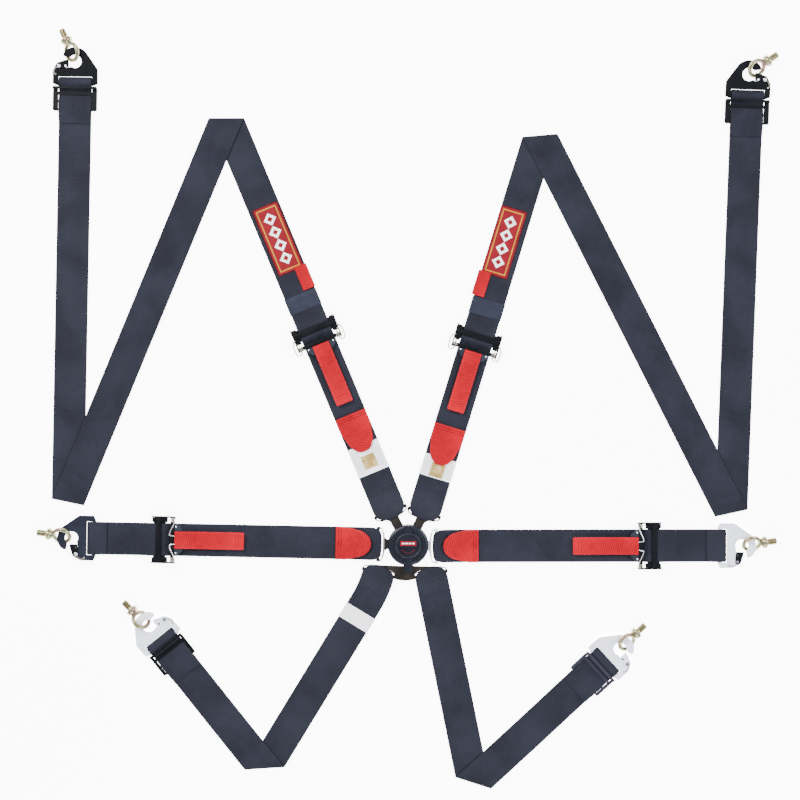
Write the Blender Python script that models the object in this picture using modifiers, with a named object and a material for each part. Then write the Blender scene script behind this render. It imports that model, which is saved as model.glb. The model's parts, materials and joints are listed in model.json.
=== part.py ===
"""Six-point racing harness with a rotary camlock buckle, laid out flat.

Units in this file are millimetres, turned into metres when an object is made.
The origin is the centre of the buckle's back face, +X is the wearer's left-hand
side of the layout, +Y runs towards the shoulder anchors and +Z away from the floor.
"""
import math

import bmesh
import bpy
from mathutils import Matrix, Vector

MM = 0.001
GAP = 0.3
SHARP_ANGLE = math.radians(35)

# Webbing
WEB_WIDTH = 50.8
WEB_THICK = 1.4
WEB_HALF = WEB_WIDTH / 2
WEB_LAYER = WEB_THICK + GAP
FOLD_RADIUS = 1.2
LOOP_PINCH = 0.92
PINCH_FLAT = 8.0
TAB_WIDTH = 27.0
TAB_THICK = 2.6

# Buckle
BUCKLE_RADIUS = 31.75
BASE_THICK = 3.0
COVER_TOP = 22.0
COVER_WALL = 3.4
HANDLE_RADIUS = 20.0
HANDLE_BOTTOM = 22.4
HANDLE_TOP = 27.4
WING_WIDTH = 11.5
WING_SHORT = 31.0
WING_LONG = 43.0
TONGUE_THICK = 2.5
TONGUE_Z = 9.8
LUG_WIDTH = 15.0
LUG_NOSE = 15.0
LATCH_RADIUS = 21.0
LATCH_HOLE = 3.5
PIVOT_RADIUS = 3.5

# Bars that webbing wraps round
BAR_HALF = 2.5
BAR_LOOP = 4.0
SLOT_HALF = 24.0
FRAME_HALF = 27.0

# Three-bar adjusters in the shoulder and lap straps
ROLLER_RADIUS = 3.5
ROLLER_LOOP = ROLLER_RADIUS + GAP + WEB_THICK / 2
ROLLER_Z = WEB_THICK / 2 + ROLLER_LOOP
REAR_BAR_X = 13.0
REAR_BAR_RADIUS = 2.8
REAR_BAR_Z = WEB_THICK / 2 + BAR_LOOP
LEVER_PIVOT_X = -15.0
LEVER_PIVOT_Z = 9.0
SIDE_OUTER = 36.5
SIDE_THICK = 2.0

# Clips and eye bolts
CLIP_THICK = 3.0
CLIP_BAR_Z = WEB_THICK / 2 + BAR_LOOP
HOOK_CENTRE = 34.0
HOOK_RADIUS = 10.2
NOSE_RADIUS = 22.0
RING_PATH = 15.4
GATE_PIVOT = (27.0, 25.0)
EYE_RING_RADIUS = 12.75
EYE_WIRE_RADIUS = 3.2
EYE_RING_LEAN = math.radians(50)
EYE_COLLAR_RADIUS = 9.5
EYE_COLLAR_START = 15.0
EYE_COLLAR_END = 23.5
EYE_SHANK_RADIUS = 5.5
EYE_LENGTH = 39.5

# Layout on the floor: where each strap starts, folds and ends
SHOULDERS = {
    "shoulder_l": dict(bar=(-27.9, 51.6), adjuster=245.0 + 56.0, folds=((-283, 664), (-529.3, 67.3)),
                       clip=(-517.2, 719.2), mouth=1, ring=20, pull=112.0, tab=103.0),
    "shoulder_r": dict(bar=(25.0, 50.0), adjuster=224.0 + 56.0, folds=((205, 637), (502.2, 50)),
                       clip=(527.0, 699.0), mouth=-1, ring=48, pull=88.0, tab=100.0),
}
LAPS = {
    "lap_l": dict(bar=(-47.0, 1.2), adjuster=335.0, clip=(-490.9, 10.0), mouth=1, ring=-12, tab=111.0,
                  pull=14.0),
    "lap_r": dict(bar=(43.6, -2.3), adjuster=333.0, clip=(486.1, -1.7), mouth=-1, ring=-12, tab=105.0,
                  pull=14.0),
}
LEGS = {
    "leg_l": dict(bar=(-46.0, -44.0), bar_turn=15.0, fold=(-223.0, -348.0), clip=(-381.2, -151.2), mouth=-1,
                  ring=-12),
    "leg_r": dict(bar=(35.0, -46.0), bar_turn=-11.4, fold=(101.0, -370.5), clip=(303.8, -183.8), mouth=-1,
                  ring=-5),
}

COLOURS = {
    "webbing": (0.035, 0.038, 0.055, 0.8, 0.0),
    "red": (0.75, 0.03, 0.04, 0.7, 0.0),
    "cover": (0.03, 0.035, 0.05, 0.35, 0.2),
    "steel": (0.62, 0.64, 0.7, 0.35, 1.0),
    "black_steel": (0.02, 0.022, 0.03, 0.4, 0.6),
    "bronze": (0.05, 0.042, 0.035, 0.4, 0.8),
    "zinc": (0.72, 0.62, 0.36, 0.3, 1.0),
    "spring": (0.5, 0.5, 0.52, 0.3, 1.0),
}


def clear_scene():
    for item in list(bpy.data.objects):
        bpy.data.objects.remove(item, do_unlink=True)


def collection(name):
    group = bpy.data.collections.new(name)
    bpy.context.scene.collection.children.link(group)
    return group


def material(name, colour):
    red, green, blue, roughness, metallic = COLOURS[colour]
    skin = bpy.data.materials.new(name)
    skin.use_nodes = True
    shader = skin.node_tree.nodes["Principled BSDF"]
    shader.inputs["Base Color"].default_value = (red, green, blue, 1.0)
    shader.inputs["Roughness"].default_value = roughness
    shader.inputs["Metallic"].default_value = metallic
    return skin


clear_scene()
HARNESS = collection("racing_harness")
CUTTERS = collection("cutters")


# ---------------------------------------------------------------- helpers

def heading(degrees):
    """Frame whose +X points along a heading on the floor, counted from world +X."""
    return Matrix.Rotation(math.radians(degrees), 4, "Z")


def at(x, y, z):
    return Matrix.Translation((x, y, z))


def in_metres(matrix):
    placed = matrix.copy()
    placed.translation = matrix.translation * MM
    return placed


def finish_object(item, colour, frame):
    """Name the material, place the object and scale its mesh from millimetres."""
    for vertex in item.data.vertices:
        vertex.co *= MM
    item.data.shade_smooth()
    item.data.set_sharp_from_angle(angle=SHARP_ANGLE)
    item.data.materials.clear()
    item.data.materials.append(material(item.name + "_material", colour))
    item.matrix_world = in_metres(frame)
    return item


def mesh_object(name, mesh, colour, frame, group=None):
    mesh.name = name
    item = bpy.data.objects.new(name, mesh)
    (group or HARNESS).objects.link(item)
    return finish_object(item, colour, frame)


def flat_mesh(outlines, thickness):
    """A plate in the XY plane from closed outlines: the first is the edge, the rest are holes."""
    curve = bpy.data.curves.new("outline", "CURVE")
    curve.dimensions = "2D"
    curve.fill_mode = "BOTH"
    curve.extrude = thickness / 2
    for points in outlines:
        spline = curve.splines.new("POLY")
        spline.points.add(len(points) - 1)
        for slot, (x, y) in zip(spline.points, points):
            slot.co = (x, y, 0, 1)
        spline.use_cyclic_u = True
    holder = bpy.data.objects.new("outline", curve)
    HARNESS.objects.link(holder)
    bpy.context.view_layer.update()
    mesh = bpy.data.meshes.new_from_object(holder.evaluated_get(bpy.context.evaluated_depsgraph_get()))
    bpy.data.objects.remove(holder, do_unlink=True)
    tidy = bmesh.new()
    tidy.from_mesh(mesh)
    bmesh.ops.remove_doubles(tidy, verts=tidy.verts, dist=0.001)
    bmesh.ops.recalc_face_normals(tidy, faces=tidy.faces)
    tidy.to_mesh(mesh)
    tidy.free()
    return mesh


def plate(name, outlines, thickness, colour, frame, group=None):
    return mesh_object(name, flat_mesh(outlines, thickness), colour, frame, group)


def turned(name, profile, colour, frame, segments=32, group=None):
    """Solid of revolution about Z; the profile runs top to bottom down its outer side."""
    mesh = bpy.data.meshes.new(name)
    edges = [(i, i + 1) for i in range(len(profile) - 1)]
    mesh.from_pydata([(radius, 0, height) for radius, height in profile], edges, [])
    item = mesh_object(name, mesh, colour, frame, group)
    screw = item.modifiers.new("turn", "SCREW")
    screw.steps = segments
    screw.render_steps = segments
    screw.use_merge_vertices = True
    screw.merge_threshold = 0.00001
    screw.use_smooth_shade = True
    return item


def box(name, size, colour, frame, group=None):
    shape = bmesh.new()
    bmesh.ops.create_cube(shape, size=1.0)
    bmesh.ops.scale(shape, vec=Vector(size), verts=shape.verts)
    mesh = bpy.data.meshes.new(name)
    shape.to_mesh(mesh)
    shape.free()
    return mesh_object(name, mesh, colour, frame, group)


def rod(name, radius, length, colour, frame, segments=16, group=None):
    """Cylinder along Z, centred on the frame's origin."""
    shape = bmesh.new()
    bmesh.ops.create_cone(shape, cap_ends=True, segments=segments, radius1=radius, radius2=radius, depth=length)
    mesh = bpy.data.meshes.new(name)
    shape.to_mesh(mesh)
    shape.free()
    return mesh_object(name, mesh, colour, frame, group)


def wire(name, points, radius, colour, frame):
    """Round wire through the points, as a closed mesh."""
    curve = bpy.data.curves.new(name, "CURVE")
    curve.dimensions = "3D"
    curve.bevel_depth = radius
    curve.bevel_resolution = 2
    curve.use_fill_caps = True
    spline = curve.splines.new("POLY")
    spline.points.add(len(points) - 1)
    for slot, point in zip(spline.points, points):
        slot.co = (*point, 1)
    holder = bpy.data.objects.new("wire", curve)
    HARNESS.objects.link(holder)
    bpy.context.view_layer.update()
    mesh = bpy.data.meshes.new_from_object(holder.evaluated_get(bpy.context.evaluated_depsgraph_get()))
    bpy.data.objects.remove(holder, do_unlink=True)
    tidy = bmesh.new()
    tidy.from_mesh(mesh)
    bmesh.ops.remove_doubles(tidy, verts=tidy.verts, dist=0.001)
    bmesh.ops.triangulate(tidy, faces=tidy.faces)
    bmesh.ops.recalc_face_normals(tidy, faces=tidy.faces)
    tidy.to_mesh(mesh)
    tidy.free()
    return mesh_object(name, mesh, colour, frame)


def combine(item, tool, operation):
    """Join a tool to the object, or cut it out, and hide the tool with the cutters."""
    for group in list(tool.users_collection):
        group.objects.unlink(tool)
    CUTTERS.objects.link(tool)
    tool.hide_render = True
    tool.display_type = "WIRE"
    change = item.modifiers.new(operation.lower(), "BOOLEAN")
    change.operation = operation
    change.solver = "EXACT"
    change.object = tool
    return item


def arc(centre, radius, start, end, steps):
    """Points on an arc, both ends included; angles in degrees."""
    points = []
    for i in range(steps + 1):
        angle = math.radians(start + (end - start) * i / steps)
        points.append((centre[0] + radius * math.cos(angle), centre[1] + radius * math.sin(angle)))
    return points


def mirrored(points, side):
    return [(x, y * side) for x, y in points]


# ---------------------------------------------------------------- webbing

class StrapRoute:
    """Maps a straight strip onto the floor: an optional bend in plan, then flat folds.

    Each fold is a half-turn round a small radius, up or down, across the strip.
    """

    def __init__(self, start, first_heading, folds=(), end=None, bend_from=None, bend_length=0.0):
        self.start = Vector(start)
        self.bend_length = bend_length
        self.bend_from = first_heading if bend_from is None else bend_from
        self.first_heading = first_heading
        stops = [Vector(point) for point, _ in folds] + [Vector(end)]
        directions = [Vector((math.cos(first_heading), math.sin(first_heading)))]
        for before, after in zip(stops, stops[1:]):
            directions.append((after - before).normalized())
        self.folds = []
        for (point, up), incoming, outgoing in zip(folds, directions, directions[1:]):
            normal = (incoming - outgoing).normalized()
            self.folds.append((Vector(point), normal, up))
        self.last_direction = directions[-1]
        self.meet(stops[-1])

    def meet(self, target):
        """Set the strip's length so that its centreline ends level with the target."""
        origin, direction = self.after_bend()
        for pivot, normal, _ in self.folds:
            origin = origin - 2 * (origin - pivot).dot(normal) * normal + math.pi * FOLD_RADIUS * normal
            direction = direction - 2 * direction.dot(normal) * normal
        reach = (target - origin).dot(direction)
        self.length = reach + self.bend_length
        self.end_point = origin + reach * direction

    def after_bend(self):
        """Origin and direction of the straight run, as if it began at the start of the strip."""
        direction = Vector((math.cos(self.first_heading), math.sin(self.first_heading)))
        if self.bend_length == 0.0:
            return self.start, direction
        return self.bend_point(self.bend_length)[0], direction

    def bend_point(self, x):
        turn = self.first_heading - self.bend_from
        angle = self.bend_from + turn * x / self.bend_length
        radius = self.bend_length / turn
        centre = self.start + radius * Vector((-math.sin(self.bend_from), math.cos(self.bend_from)))
        return centre + radius * Vector((math.sin(angle), -math.cos(angle))), angle

    def straight(self, x, y):
        """Plan position with no folds."""
        if x < self.bend_length:
            if x < 0:
                angle = self.bend_from
                point = self.start + x * Vector((math.cos(angle), math.sin(angle)))
            else:
                point, angle = self.bend_point(x)
            return point + y * Vector((-math.sin(angle), math.cos(angle)))
        origin, direction = self.after_bend()
        left = Vector((-direction.y, direction.x))
        return origin + (x - self.bend_length) * direction + y * left

    def place(self, x, y, height=0.0):
        """World position of a point at length x, side y and height over the strip's own plane."""
        point = self.straight(x, y)
        level = 0.0
        for pivot, normal, up in self.folds:
            past = (point - pivot).dot(normal)
            if past <= 0:
                break
            foot = point - past * normal
            turn = past / FOLD_RADIUS
            if turn < math.pi:
                point = foot + normal * FOLD_RADIUS * math.sin(turn)
                level += up * FOLD_RADIUS * (1 - math.cos(turn))
                break
            point = foot - normal * (past - math.pi * FOLD_RADIUS)
            level += up * 2 * FOLD_RADIUS
        return Vector((point.x, point.y, level + height + WEB_THICK / 2))

    def fold_rungs(self, steps=4):
        """Lines across the strip, parallel to each fold, as (x at left edge, x at right edge)."""
        origin, direction = self.after_bend()
        left = Vector((-direction.y, direction.x))
        rungs = []
        for pivot, normal, _ in self.folds:
            for i in range(steps + 1):
                past = math.pi * FOLD_RADIUS * i / steps
                ends = []
                for side in (WEB_HALF, -WEB_HALF):
                    reach = past - (origin - pivot).dot(normal) - side * left.dot(normal)
                    ends.append(reach / direction.dot(normal) + self.bend_length)
                rungs.append(tuple(ends))
            shift = math.pi * FOLD_RADIUS * normal
            origin = origin - 2 * (origin - pivot).dot(normal) * normal + shift
            direction = direction - 2 * direction.dot(normal) * normal
            left = left - 2 * left.dot(normal) * normal
        return rungs


def loop_profile(x, height, radius, side, steps=8):
    """Half circle round a bar, from its lower to its upper side; side +1 bulges towards +X."""
    points = []
    for i in range(steps + 1):
        angle = math.pi * i / steps
        points.append((x + side * radius * math.sin(angle), height - radius * math.cos(angle)))
    return points


def webbing(name, route, profile, colour="webbing", origin=None, width=WEB_WIDTH, thickness=WEB_THICK,
            pinch=()):
    """Strip of webbing: profile points (x, height) give its run, and folds are added where it meets them."""
    rungs = []
    folds = route.fold_rungs()
    for index, (x, height) in enumerate(profile):
        scale = 1.0
        for place, reach in pinch:
            share = min(max((abs(x - place) - PINCH_FLAT) / reach, 0.0), 1.0)
            scale = min(scale, LOOP_PINCH + (1 - LOOP_PINCH) * share)
        if index and folds:
            previous = profile[index - 1][0]
            for left_x, right_x in folds:
                if previous < min(left_x, right_x) and max(left_x, right_x) < x:
                    rungs.append((left_x, right_x, height, 1.0))
        rungs.append((x, x, height, scale))
    mesh = bpy.data.meshes.new(name)
    points = []
    for left_x, right_x, height, scale in rungs:
        points.append(route.place(left_x, width / 2 * scale, height))
        points.append(route.place(right_x, -width / 2 * scale, height))
    faces = []
    for i in range(len(rungs) - 1):
        faces.append((2 * i, 2 * i + 1, 2 * i + 3, 2 * i + 2))
    pivot = Vector(origin) if origin is not None else points[0]
    mesh.from_pydata([point - pivot for point in points], [], faces)
    item = mesh_object(name, mesh, colour, at(*pivot))
    solid = item.modifiers.new("webbing_thickness", "SOLIDIFY")
    solid.thickness = thickness * MM
    solid.offset = 0
    solid.use_even_offset = True
    return item


# ---------------------------------------------------------------- buckle

def buckle_base():
    """Round back plate with a raised ring that the tongues lie on."""
    pad = TONGUE_Z - TONGUE_THICK / 2 - GAP
    profile = [(13.0, pad), (25.0, pad), (25.0, BASE_THICK), (BUCKLE_RADIUS, BASE_THICK),
               (BUCKLE_RADIUS, 0.8), (BUCKLE_RADIUS - 0.8, 0.0), (0.0, 0.0)]
    profile = [(0.0, BASE_THICK), (13.0, BASE_THICK)] + profile
    return turned("buckle_base", profile, "black_steel", at(0, 0, 0), segments=64)


def buckle_cover(lugs):
    """Turned cover, open in the middle for the handle, with a slot in its wall for each tongue."""
    inner = BUCKLE_RADIUS - COVER_WALL
    bottom = BASE_THICK + GAP
    profile = [(11.0, COVER_TOP - 3.0), (11.0, COVER_TOP), (BUCKLE_RADIUS - 4.0, COVER_TOP),
               (BUCKLE_RADIUS - 1.2, COVER_TOP - 1.2), (BUCKLE_RADIUS, COVER_TOP - 4.0),
               (BUCKLE_RADIUS, bottom), (inner, bottom), (inner, COVER_TOP - 3.0), (11.0, COVER_TOP - 3.0)]
    cover = turned("buckle_cover", profile, "cover", at(0, 0, 0), segments=64)
    for name, angle in lugs.items():
        slot_width = LUG_WIDTH + 2 * GAP
        slot_height = TONGUE_THICK + 2 * GAP
        frame = heading(angle) @ at(BUCKLE_RADIUS - COVER_WALL / 2, 0, TONGUE_Z)
        cut = box(name + "_slot", (COVER_WALL * 3, slot_width, slot_height), "cover", frame, CUTTERS)
        combine(cover, cut, "DIFFERENCE")
    return cover


def release_handle():
    """Turning handle: a dished knob, a hub down into the cover and two lever wings."""
    hub = HANDLE_BOTTOM - 5.2
    profile = [(0.0, HANDLE_TOP - 1.0), (15.0, HANDLE_TOP - 1.0), (16.0, HANDLE_TOP),
               (HANDLE_RADIUS - 1.0, HANDLE_TOP), (HANDLE_RADIUS, HANDLE_TOP - 1.0),
               (HANDLE_RADIUS, HANDLE_BOTTOM), (9.5, HANDLE_BOTTOM), (9.5, hub),
               (PIVOT_RADIUS + GAP, hub), (PIVOT_RADIUS + GAP, HANDLE_TOP - 3.0), (0.0, HANDLE_TOP - 3.0)]
    handle = turned("release_handle", profile, "cover", at(0, 0, 0), segments=48)
    half = WING_WIDTH / 2
    outline = [(-half, -WING_LONG + 3), (-half + 2, -WING_LONG), (half - 2, -WING_LONG), (half, -WING_LONG + 3),
               (half, WING_SHORT - 3), (half - 2, WING_SHORT), (-half + 2, WING_SHORT), (-half, WING_SHORT - 3)]
    thick = HANDLE_TOP - HANDLE_BOTTOM - 1.6
    wings = plate("handle_wings", [outline], thick, "cover", at(0, 0, HANDLE_BOTTOM + thick / 2 + 0.1), CUTTERS)
    return combine(handle, wings, "UNION")


def cam_plate():
    """Three-lobed cam under the handle that lifts the latch."""
    points = []
    for i in range(36):
        angle = math.radians(i * 10)
        radius = 10.0 + 1.6 * math.cos(3 * angle)
        points.append((radius * math.cos(angle), radius * math.sin(angle)))
    hole = arc((0, 0), PIVOT_RADIUS + GAP, 0, 345, 23)
    return plate("cam_plate", [points, hole], 1.6, "steel", at(0, 0, 15.9))


def spider_outline(angles, hub, reach, half):
    """Round hub with a straight arm at each angle."""
    root = math.sqrt(hub ** 2 - half ** 2)
    spread = math.degrees(math.atan2(half, root))
    points = []
    ordered = sorted(angle % 360 for angle in angles)
    for angle, following in zip(ordered, ordered[1:] + [ordered[0] + 360]):
        turn = heading(angle)
        for x, y in ((root, -half), (reach, -half), (reach, half)):
            points.append(tuple((turn @ Vector((x, y, 0))).xy))
        points += arc((0, 0), hub, angle + spread, following - spread, 5)[:-1]
    return points


def latch_spider(lugs):
    """Sprung latch plate: a ring with one arm and one pin for each tongue that releases."""
    hole = arc((0, 0), 6.0, 0, 345, 23)
    level = TONGUE_Z + TONGUE_THICK / 2 + 1.6
    outline = spider_outline(lugs.values(), 12.0, LATCH_RADIUS + 3.4, 3.6)
    spider = plate("latch_spider", [outline, hole], 1.4, "spring", at(0, 0, level))
    pin_top = level + 1.0
    pin_bottom = TONGUE_Z - TONGUE_THICK / 2 + 0.2
    for name, angle in lugs.items():
        pin_frame = heading(angle) @ at(LATCH_RADIUS, 0, (pin_top + pin_bottom) / 2)
        pin = rod(name + "_pin", LATCH_HOLE - 0.6, pin_top - pin_bottom, "spring", pin_frame, 12, CUTTERS)
        combine(spider, pin, "UNION")
    return spider


def return_spring():
    """Torsion spring round the pivot, below the latch."""
    points = []
    turns = 2.5
    steps = 36
    for i in range(steps + 1):
        angle = 2 * math.pi * turns * i / steps
        points.append((8.5 * math.cos(angle), 8.5 * math.sin(angle), 4.6 + 1.0 * turns * i / steps * 1.2))
    return wire("return_spring", points, 0.7, "spring", at(0, 0, 0))


def pivot_bolt():
    """Centre bolt that the handle turns on."""
    top = HANDLE_BOTTOM - GAP
    profile = [(0.0, top), (PIVOT_RADIUS, top), (PIVOT_RADIUS, BASE_THICK + 1.6),
               (6.0, BASE_THICK + 1.6), (6.0, BASE_THICK + GAP), (0.0, BASE_THICK + GAP)]
    return turned("pivot_bolt", profile, "steel", at(0, 0, 0), segments=24)


def tongue_frame_points(centre, direction_angle):
    """Corners of a tongue's strap frame in world plan, seen from its bar's centre."""
    turn = heading(direction_angle)
    origin = Vector((*centre, 0))

    def place(points):
        return [tuple((origin + turn @ Vector((x, y, 0))).xy) for x, y in points]

    edge = [(-10.4, 10.0), (-9.4, 17.0), (-6.2, 25.0), (-2.0, FRAME_HALF), (BAR_HALF - 1.0, FRAME_HALF),
            (BAR_HALF, FRAME_HALF - 1.0)]
    slot = [(-BAR_HALF, -SLOT_HALF), (-BAR_HALF, SLOT_HALF), (-5.2, SLOT_HALF - 0.4), (-7.6, 13.0),
            (-7.6, -13.0), (-5.2, -SLOT_HALF + 0.4)]
    return place(edge), place(mirrored(edge, -1)), place(slot)


def lug_sides(angle, reach):
    """Left and right edge points of a lug from its nose to where it meets the frame."""
    turn = heading(angle)
    half = LUG_WIDTH / 2
    left = [(reach, half), (LUG_NOSE + 3, half), (LUG_NOSE, half - 3)]
    right = [(LUG_NOSE, -half + 3), (LUG_NOSE + 3, -half), (reach, -half)]
    ends = []
    for points in (left, right):
        ends.append([tuple((turn @ Vector((x, y, 0))).xy) for x, y in points])
    return ends


def shifted(outlines, pivot):
    return [[(x - pivot[0], y - pivot[1]) for x, y in points] for points in outlines]


def latch_hole(angle):
    return arc((LATCH_RADIUS * math.cos(math.radians(angle)), LATCH_RADIUS * math.sin(math.radians(angle))),
               LATCH_HOLE, 0, 337.5, 15)


def tongue(name, centre, lug_angle, strap_angle):
    """Plate tongue: a lug for the buckle and a frame with a bar for the strap."""
    left_edge, right_edge, slot = tongue_frame_points(centre, strap_angle)
    lug_left, lug_right = lug_sides(lug_angle, max(BUCKLE_RADIUS + 0.6, math.hypot(*centre) - 14.0))
    outline = lug_left + lug_right + right_edge + left_edge[::-1]
    outlines = shifted([outline, slot, latch_hole(lug_angle)], centre)
    return plate(name, outlines, TONGUE_THICK, "bronze", at(*centre, TONGUE_Z))


def crotch_tongue(left, right):
    """T-shaped tongue with two strap frames side by side for the leg straps."""
    inner_left, outer_left, left_slot = tongue_frame_points(*left)
    outer_right, inner_right, right_slot = tongue_frame_points(*right)
    lug_left, lug_right = lug_sides(-90.0, 33.0)
    hem = [inner_left[-1], (-14.0, -55.0), (-6.0, -55.8), (3.0, -55.2), inner_right[-1]]
    outline = lug_left + lug_right + outer_left + hem + outer_right[::-1]
    outlines = shifted([outline, left_slot, right_slot, latch_hole(-90.0)], (0, -40))
    return plate("leg_tongue", outlines, TONGUE_THICK, "bronze", at(0, -40, TONGUE_Z))


# ---------------------------------------------------------------- strap hardware

def adjuster_frame(name, frame):
    """Side plates joined by the roller, the rear bar and a front tie, as one frame."""
    side = [(19.0, 1.2), (19.0, 7.0), (15.0, 10.0), (4.0, 12.0), (-8.0, 12.5), (-18.0, 12.5), (-19.5, 9.0),
            (-17.0, 4.5), (-8.0, 1.2)]
    upright = Matrix.Rotation(math.radians(90), 4, "X")
    reach = 2 * SIDE_OUTER - SIDE_THICK
    item = plate(name, [side], SIDE_THICK, "black_steel", frame @ at(0, SIDE_OUTER - SIDE_THICK / 2, 0) @ upright)
    other = plate(name + "_side", [side], SIDE_THICK, "black_steel",
                  frame @ at(0, -SIDE_OUTER + SIDE_THICK / 2, 0) @ upright, CUTTERS)
    roller = rod(name + "_roller", ROLLER_RADIUS, reach, "black_steel", frame @ at(0, 0, ROLLER_Z) @ upright, 16,
                 CUTTERS)
    rear = rod(name + "_rear", REAR_BAR_RADIUS, reach, "black_steel",
               frame @ at(REAR_BAR_X, 0, REAR_BAR_Z) @ upright, 12, CUTTERS)
    combine(item, roller, "UNION")
    combine(item, rear, "UNION")
    combine(item, other, "UNION")
    return item


def adjuster_lever(name, frame):
    """Release lever on its cross pin: a plate with cut corners that the red tab is sewn to."""
    upright = Matrix.Rotation(math.radians(90), 4, "X")
    pivot = frame @ at(LEVER_PIVOT_X, 0, LEVER_PIVOT_Z)
    outline = [(2.0, -25.0), (2.0, 25.0), (-6.0, 25.0), (-15.0, 17.0), (-15.0, -17.0), (-6.0, -25.0)]
    slot = [(-13.0, -14.2), (-13.0, 14.2), (-9.5, 14.2), (-9.5, -14.2)]
    item = plate(name, [outline, slot], 2.0, "black_steel", pivot)
    pin = rod(name + "_pin", 2.6, 2 * (SIDE_OUTER - SIDE_THICK - 0.4), "black_steel", pivot @ upright, 12, CUTTERS)
    return combine(item, pin, "UNION")


def pull_tab(name, frame, length):
    """Red webbing tab on the release lever, standing clear of the strap below it."""
    route = StrapRoute((0, 0), math.pi, end=(-length, 0))
    base = LEVER_PIVOT_Z + 1.0 + GAP + TAB_THICK / 2 - WEB_THICK / 2
    low = 8.0
    start = 3.0
    profile = [(start, base), (start + 14, base), (start + 26, low), (length / 2, low), (length, low + 1.2)]
    pivot = Vector((0, 0, LEVER_PIVOT_Z))
    item = webbing(name, route, profile, "red", origin=pivot, width=TAB_WIDTH, thickness=TAB_THICK)
    item.matrix_world = in_metres(frame @ at(LEVER_PIVOT_X, 0, LEVER_PIVOT_Z))
    return item


def three_bar_slide(name, frame, half_width, colour):
    """Flat slide with three bars that the strap's end is threaded through."""
    outline = [(-15.0, -half_width), (-13.0, -half_width + 2), (-13.0, half_width - 2), (-15.0, half_width),
               (-41.0, half_width), (-43.0, half_width - 2), (-43.0, -half_width + 2), (-41.0, -half_width)]
    inside = WEB_HALF + 0.8
    first = [(-18.0, -inside), (-18.0, inside), (-26.5, inside), (-26.5, -inside)]
    second = [(-30.0, -inside), (-30.0, inside), (-39.5, inside), (-39.5, -inside)]
    return plate(name, [outline, first, second], 2.5, colour, frame @ at(0, 0, 4.65))


def clip_outline():
    """Outline of a snap-hook plate, with its mouth on the +Y side, seen from its bar's centre."""
    hook = (HOOK_CENTRE, 0.0)
    points = [(-3.6, -27.0), (-0.5, -35.0), (22.5, -35.0), (49.0, -16.5)]
    points += arc(hook, NOSE_RADIUS, -40, 44, 8)
    points += [(45.5, 18.0), (42.5, 18.2), (41.2, 15.0)]
    points += arc(hook, HOOK_RADIUS, 50, -215, 16)
    points += [(24.2, 11.0), (24.2, 20.0), (30.5, 21.0), (32.0, 25.5), (29.5, 29.5), (20.0, 34.6),
               (-0.5, 35.0), (-3.6, 27.0)]
    return points


def clip_plate(name, frame, mouth, colour):
    slot_half = WEB_HALF + 0.8
    slot = [(BAR_HALF, -slot_half), (BAR_HALF, slot_half), (10.5, slot_half), (10.5, -slot_half)]
    outlines = [mirrored(clip_outline(), mouth), slot]
    return plate(name, outlines, CLIP_THICK, colour, frame)


def clip_gate(name, frame, mouth, colour):
    """Spring gate across the hook's mouth: a sheet over the plate and a block in the mouth."""
    pivot_x, pivot_y = GATE_PIVOT
    sheet = [(-3.5, 1.5), (-2.5, -15.5), (6.0, -15.5), (10.2, -15.0), (8.2, -8.0), (5.0, 2.5), (0.0, 4.5)]
    pivot = frame @ at(pivot_x, pivot_y * mouth, 0)
    item = plate(name, [mirrored(sheet, mouth)], 1.3, colour, pivot @ at(0, 0, CLIP_THICK / 2 + GAP + 0.65))
    block = [(5.2, -14.0), (9.4, -14.0), (9.0, -9.0), (6.8, -7.0)]
    lip = plate(name + "_block", [mirrored(block, mouth)], 3.2, colour, pivot @ at(0, 0, 0.8), CUTTERS)
    return combine(item, lip, "UNION")


def ring_frame(clip_frame, mouth, ring_angle):
    """Frame on an eye ring: +Z is the ring's axis and +X is the shank's direction."""
    angle = math.radians(ring_angle)
    local = Vector((HOOK_CENTRE + RING_PATH * math.cos(angle), mouth * RING_PATH * math.sin(angle), 0))
    centre = clip_frame @ local
    flat = clip_frame.to_3x3() @ Vector((math.cos(angle), mouth * math.sin(angle), 0))
    out = Vector((flat.x, flat.y, 0)).normalized()
    side = Vector((-out.y, out.x, 0)) * -mouth
    upslope = side * math.sin(EYE_RING_LEAN) + Vector((0, 0, math.cos(EYE_RING_LEAN)))
    axis = out.cross(upslope)
    drop = (centre.z - EYE_COLLAR_RADIUS - 0.2) / EYE_COLLAR_END
    turn = math.asin(drop / math.cos(EYE_RING_LEAN))
    shank = out * math.cos(turn) - upslope * math.sin(turn)
    across = axis.cross(shank)
    rotation = Matrix((shank, across, axis)).transposed().to_4x4()
    return at(*centre) @ rotation


def eye_bolt(name, frame):
    """Forged eye, collar and threaded shank in one piece."""
    along = frame @ Matrix.Rotation(math.radians(90), 4, "Y")
    profile = [(0.0, EYE_LENGTH), (EYE_SHANK_RADIUS - 1.0, EYE_LENGTH), (EYE_SHANK_RADIUS, EYE_LENGTH - 1.0),
               (EYE_SHANK_RADIUS, EYE_COLLAR_END), (EYE_COLLAR_RADIUS, EYE_COLLAR_END),
               (EYE_COLLAR_RADIUS, EYE_COLLAR_START + 2.5), (6.0, EYE_COLLAR_START - 1.5), (4.4, 12.0),
               (0.0, 12.0)]
    item = turned(name, profile, "zinc", along, segments=16)
    bpy.ops.mesh.primitive_torus_add(major_segments=24, minor_segments=8, major_radius=EYE_RING_RADIUS,
                                     minor_radius=EYE_WIRE_RADIUS)
    ring = bpy.context.object
    ring.name = name + "_ring"
    finish_object(ring, "zinc", frame)
    return combine(item, ring, "UNION")


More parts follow.
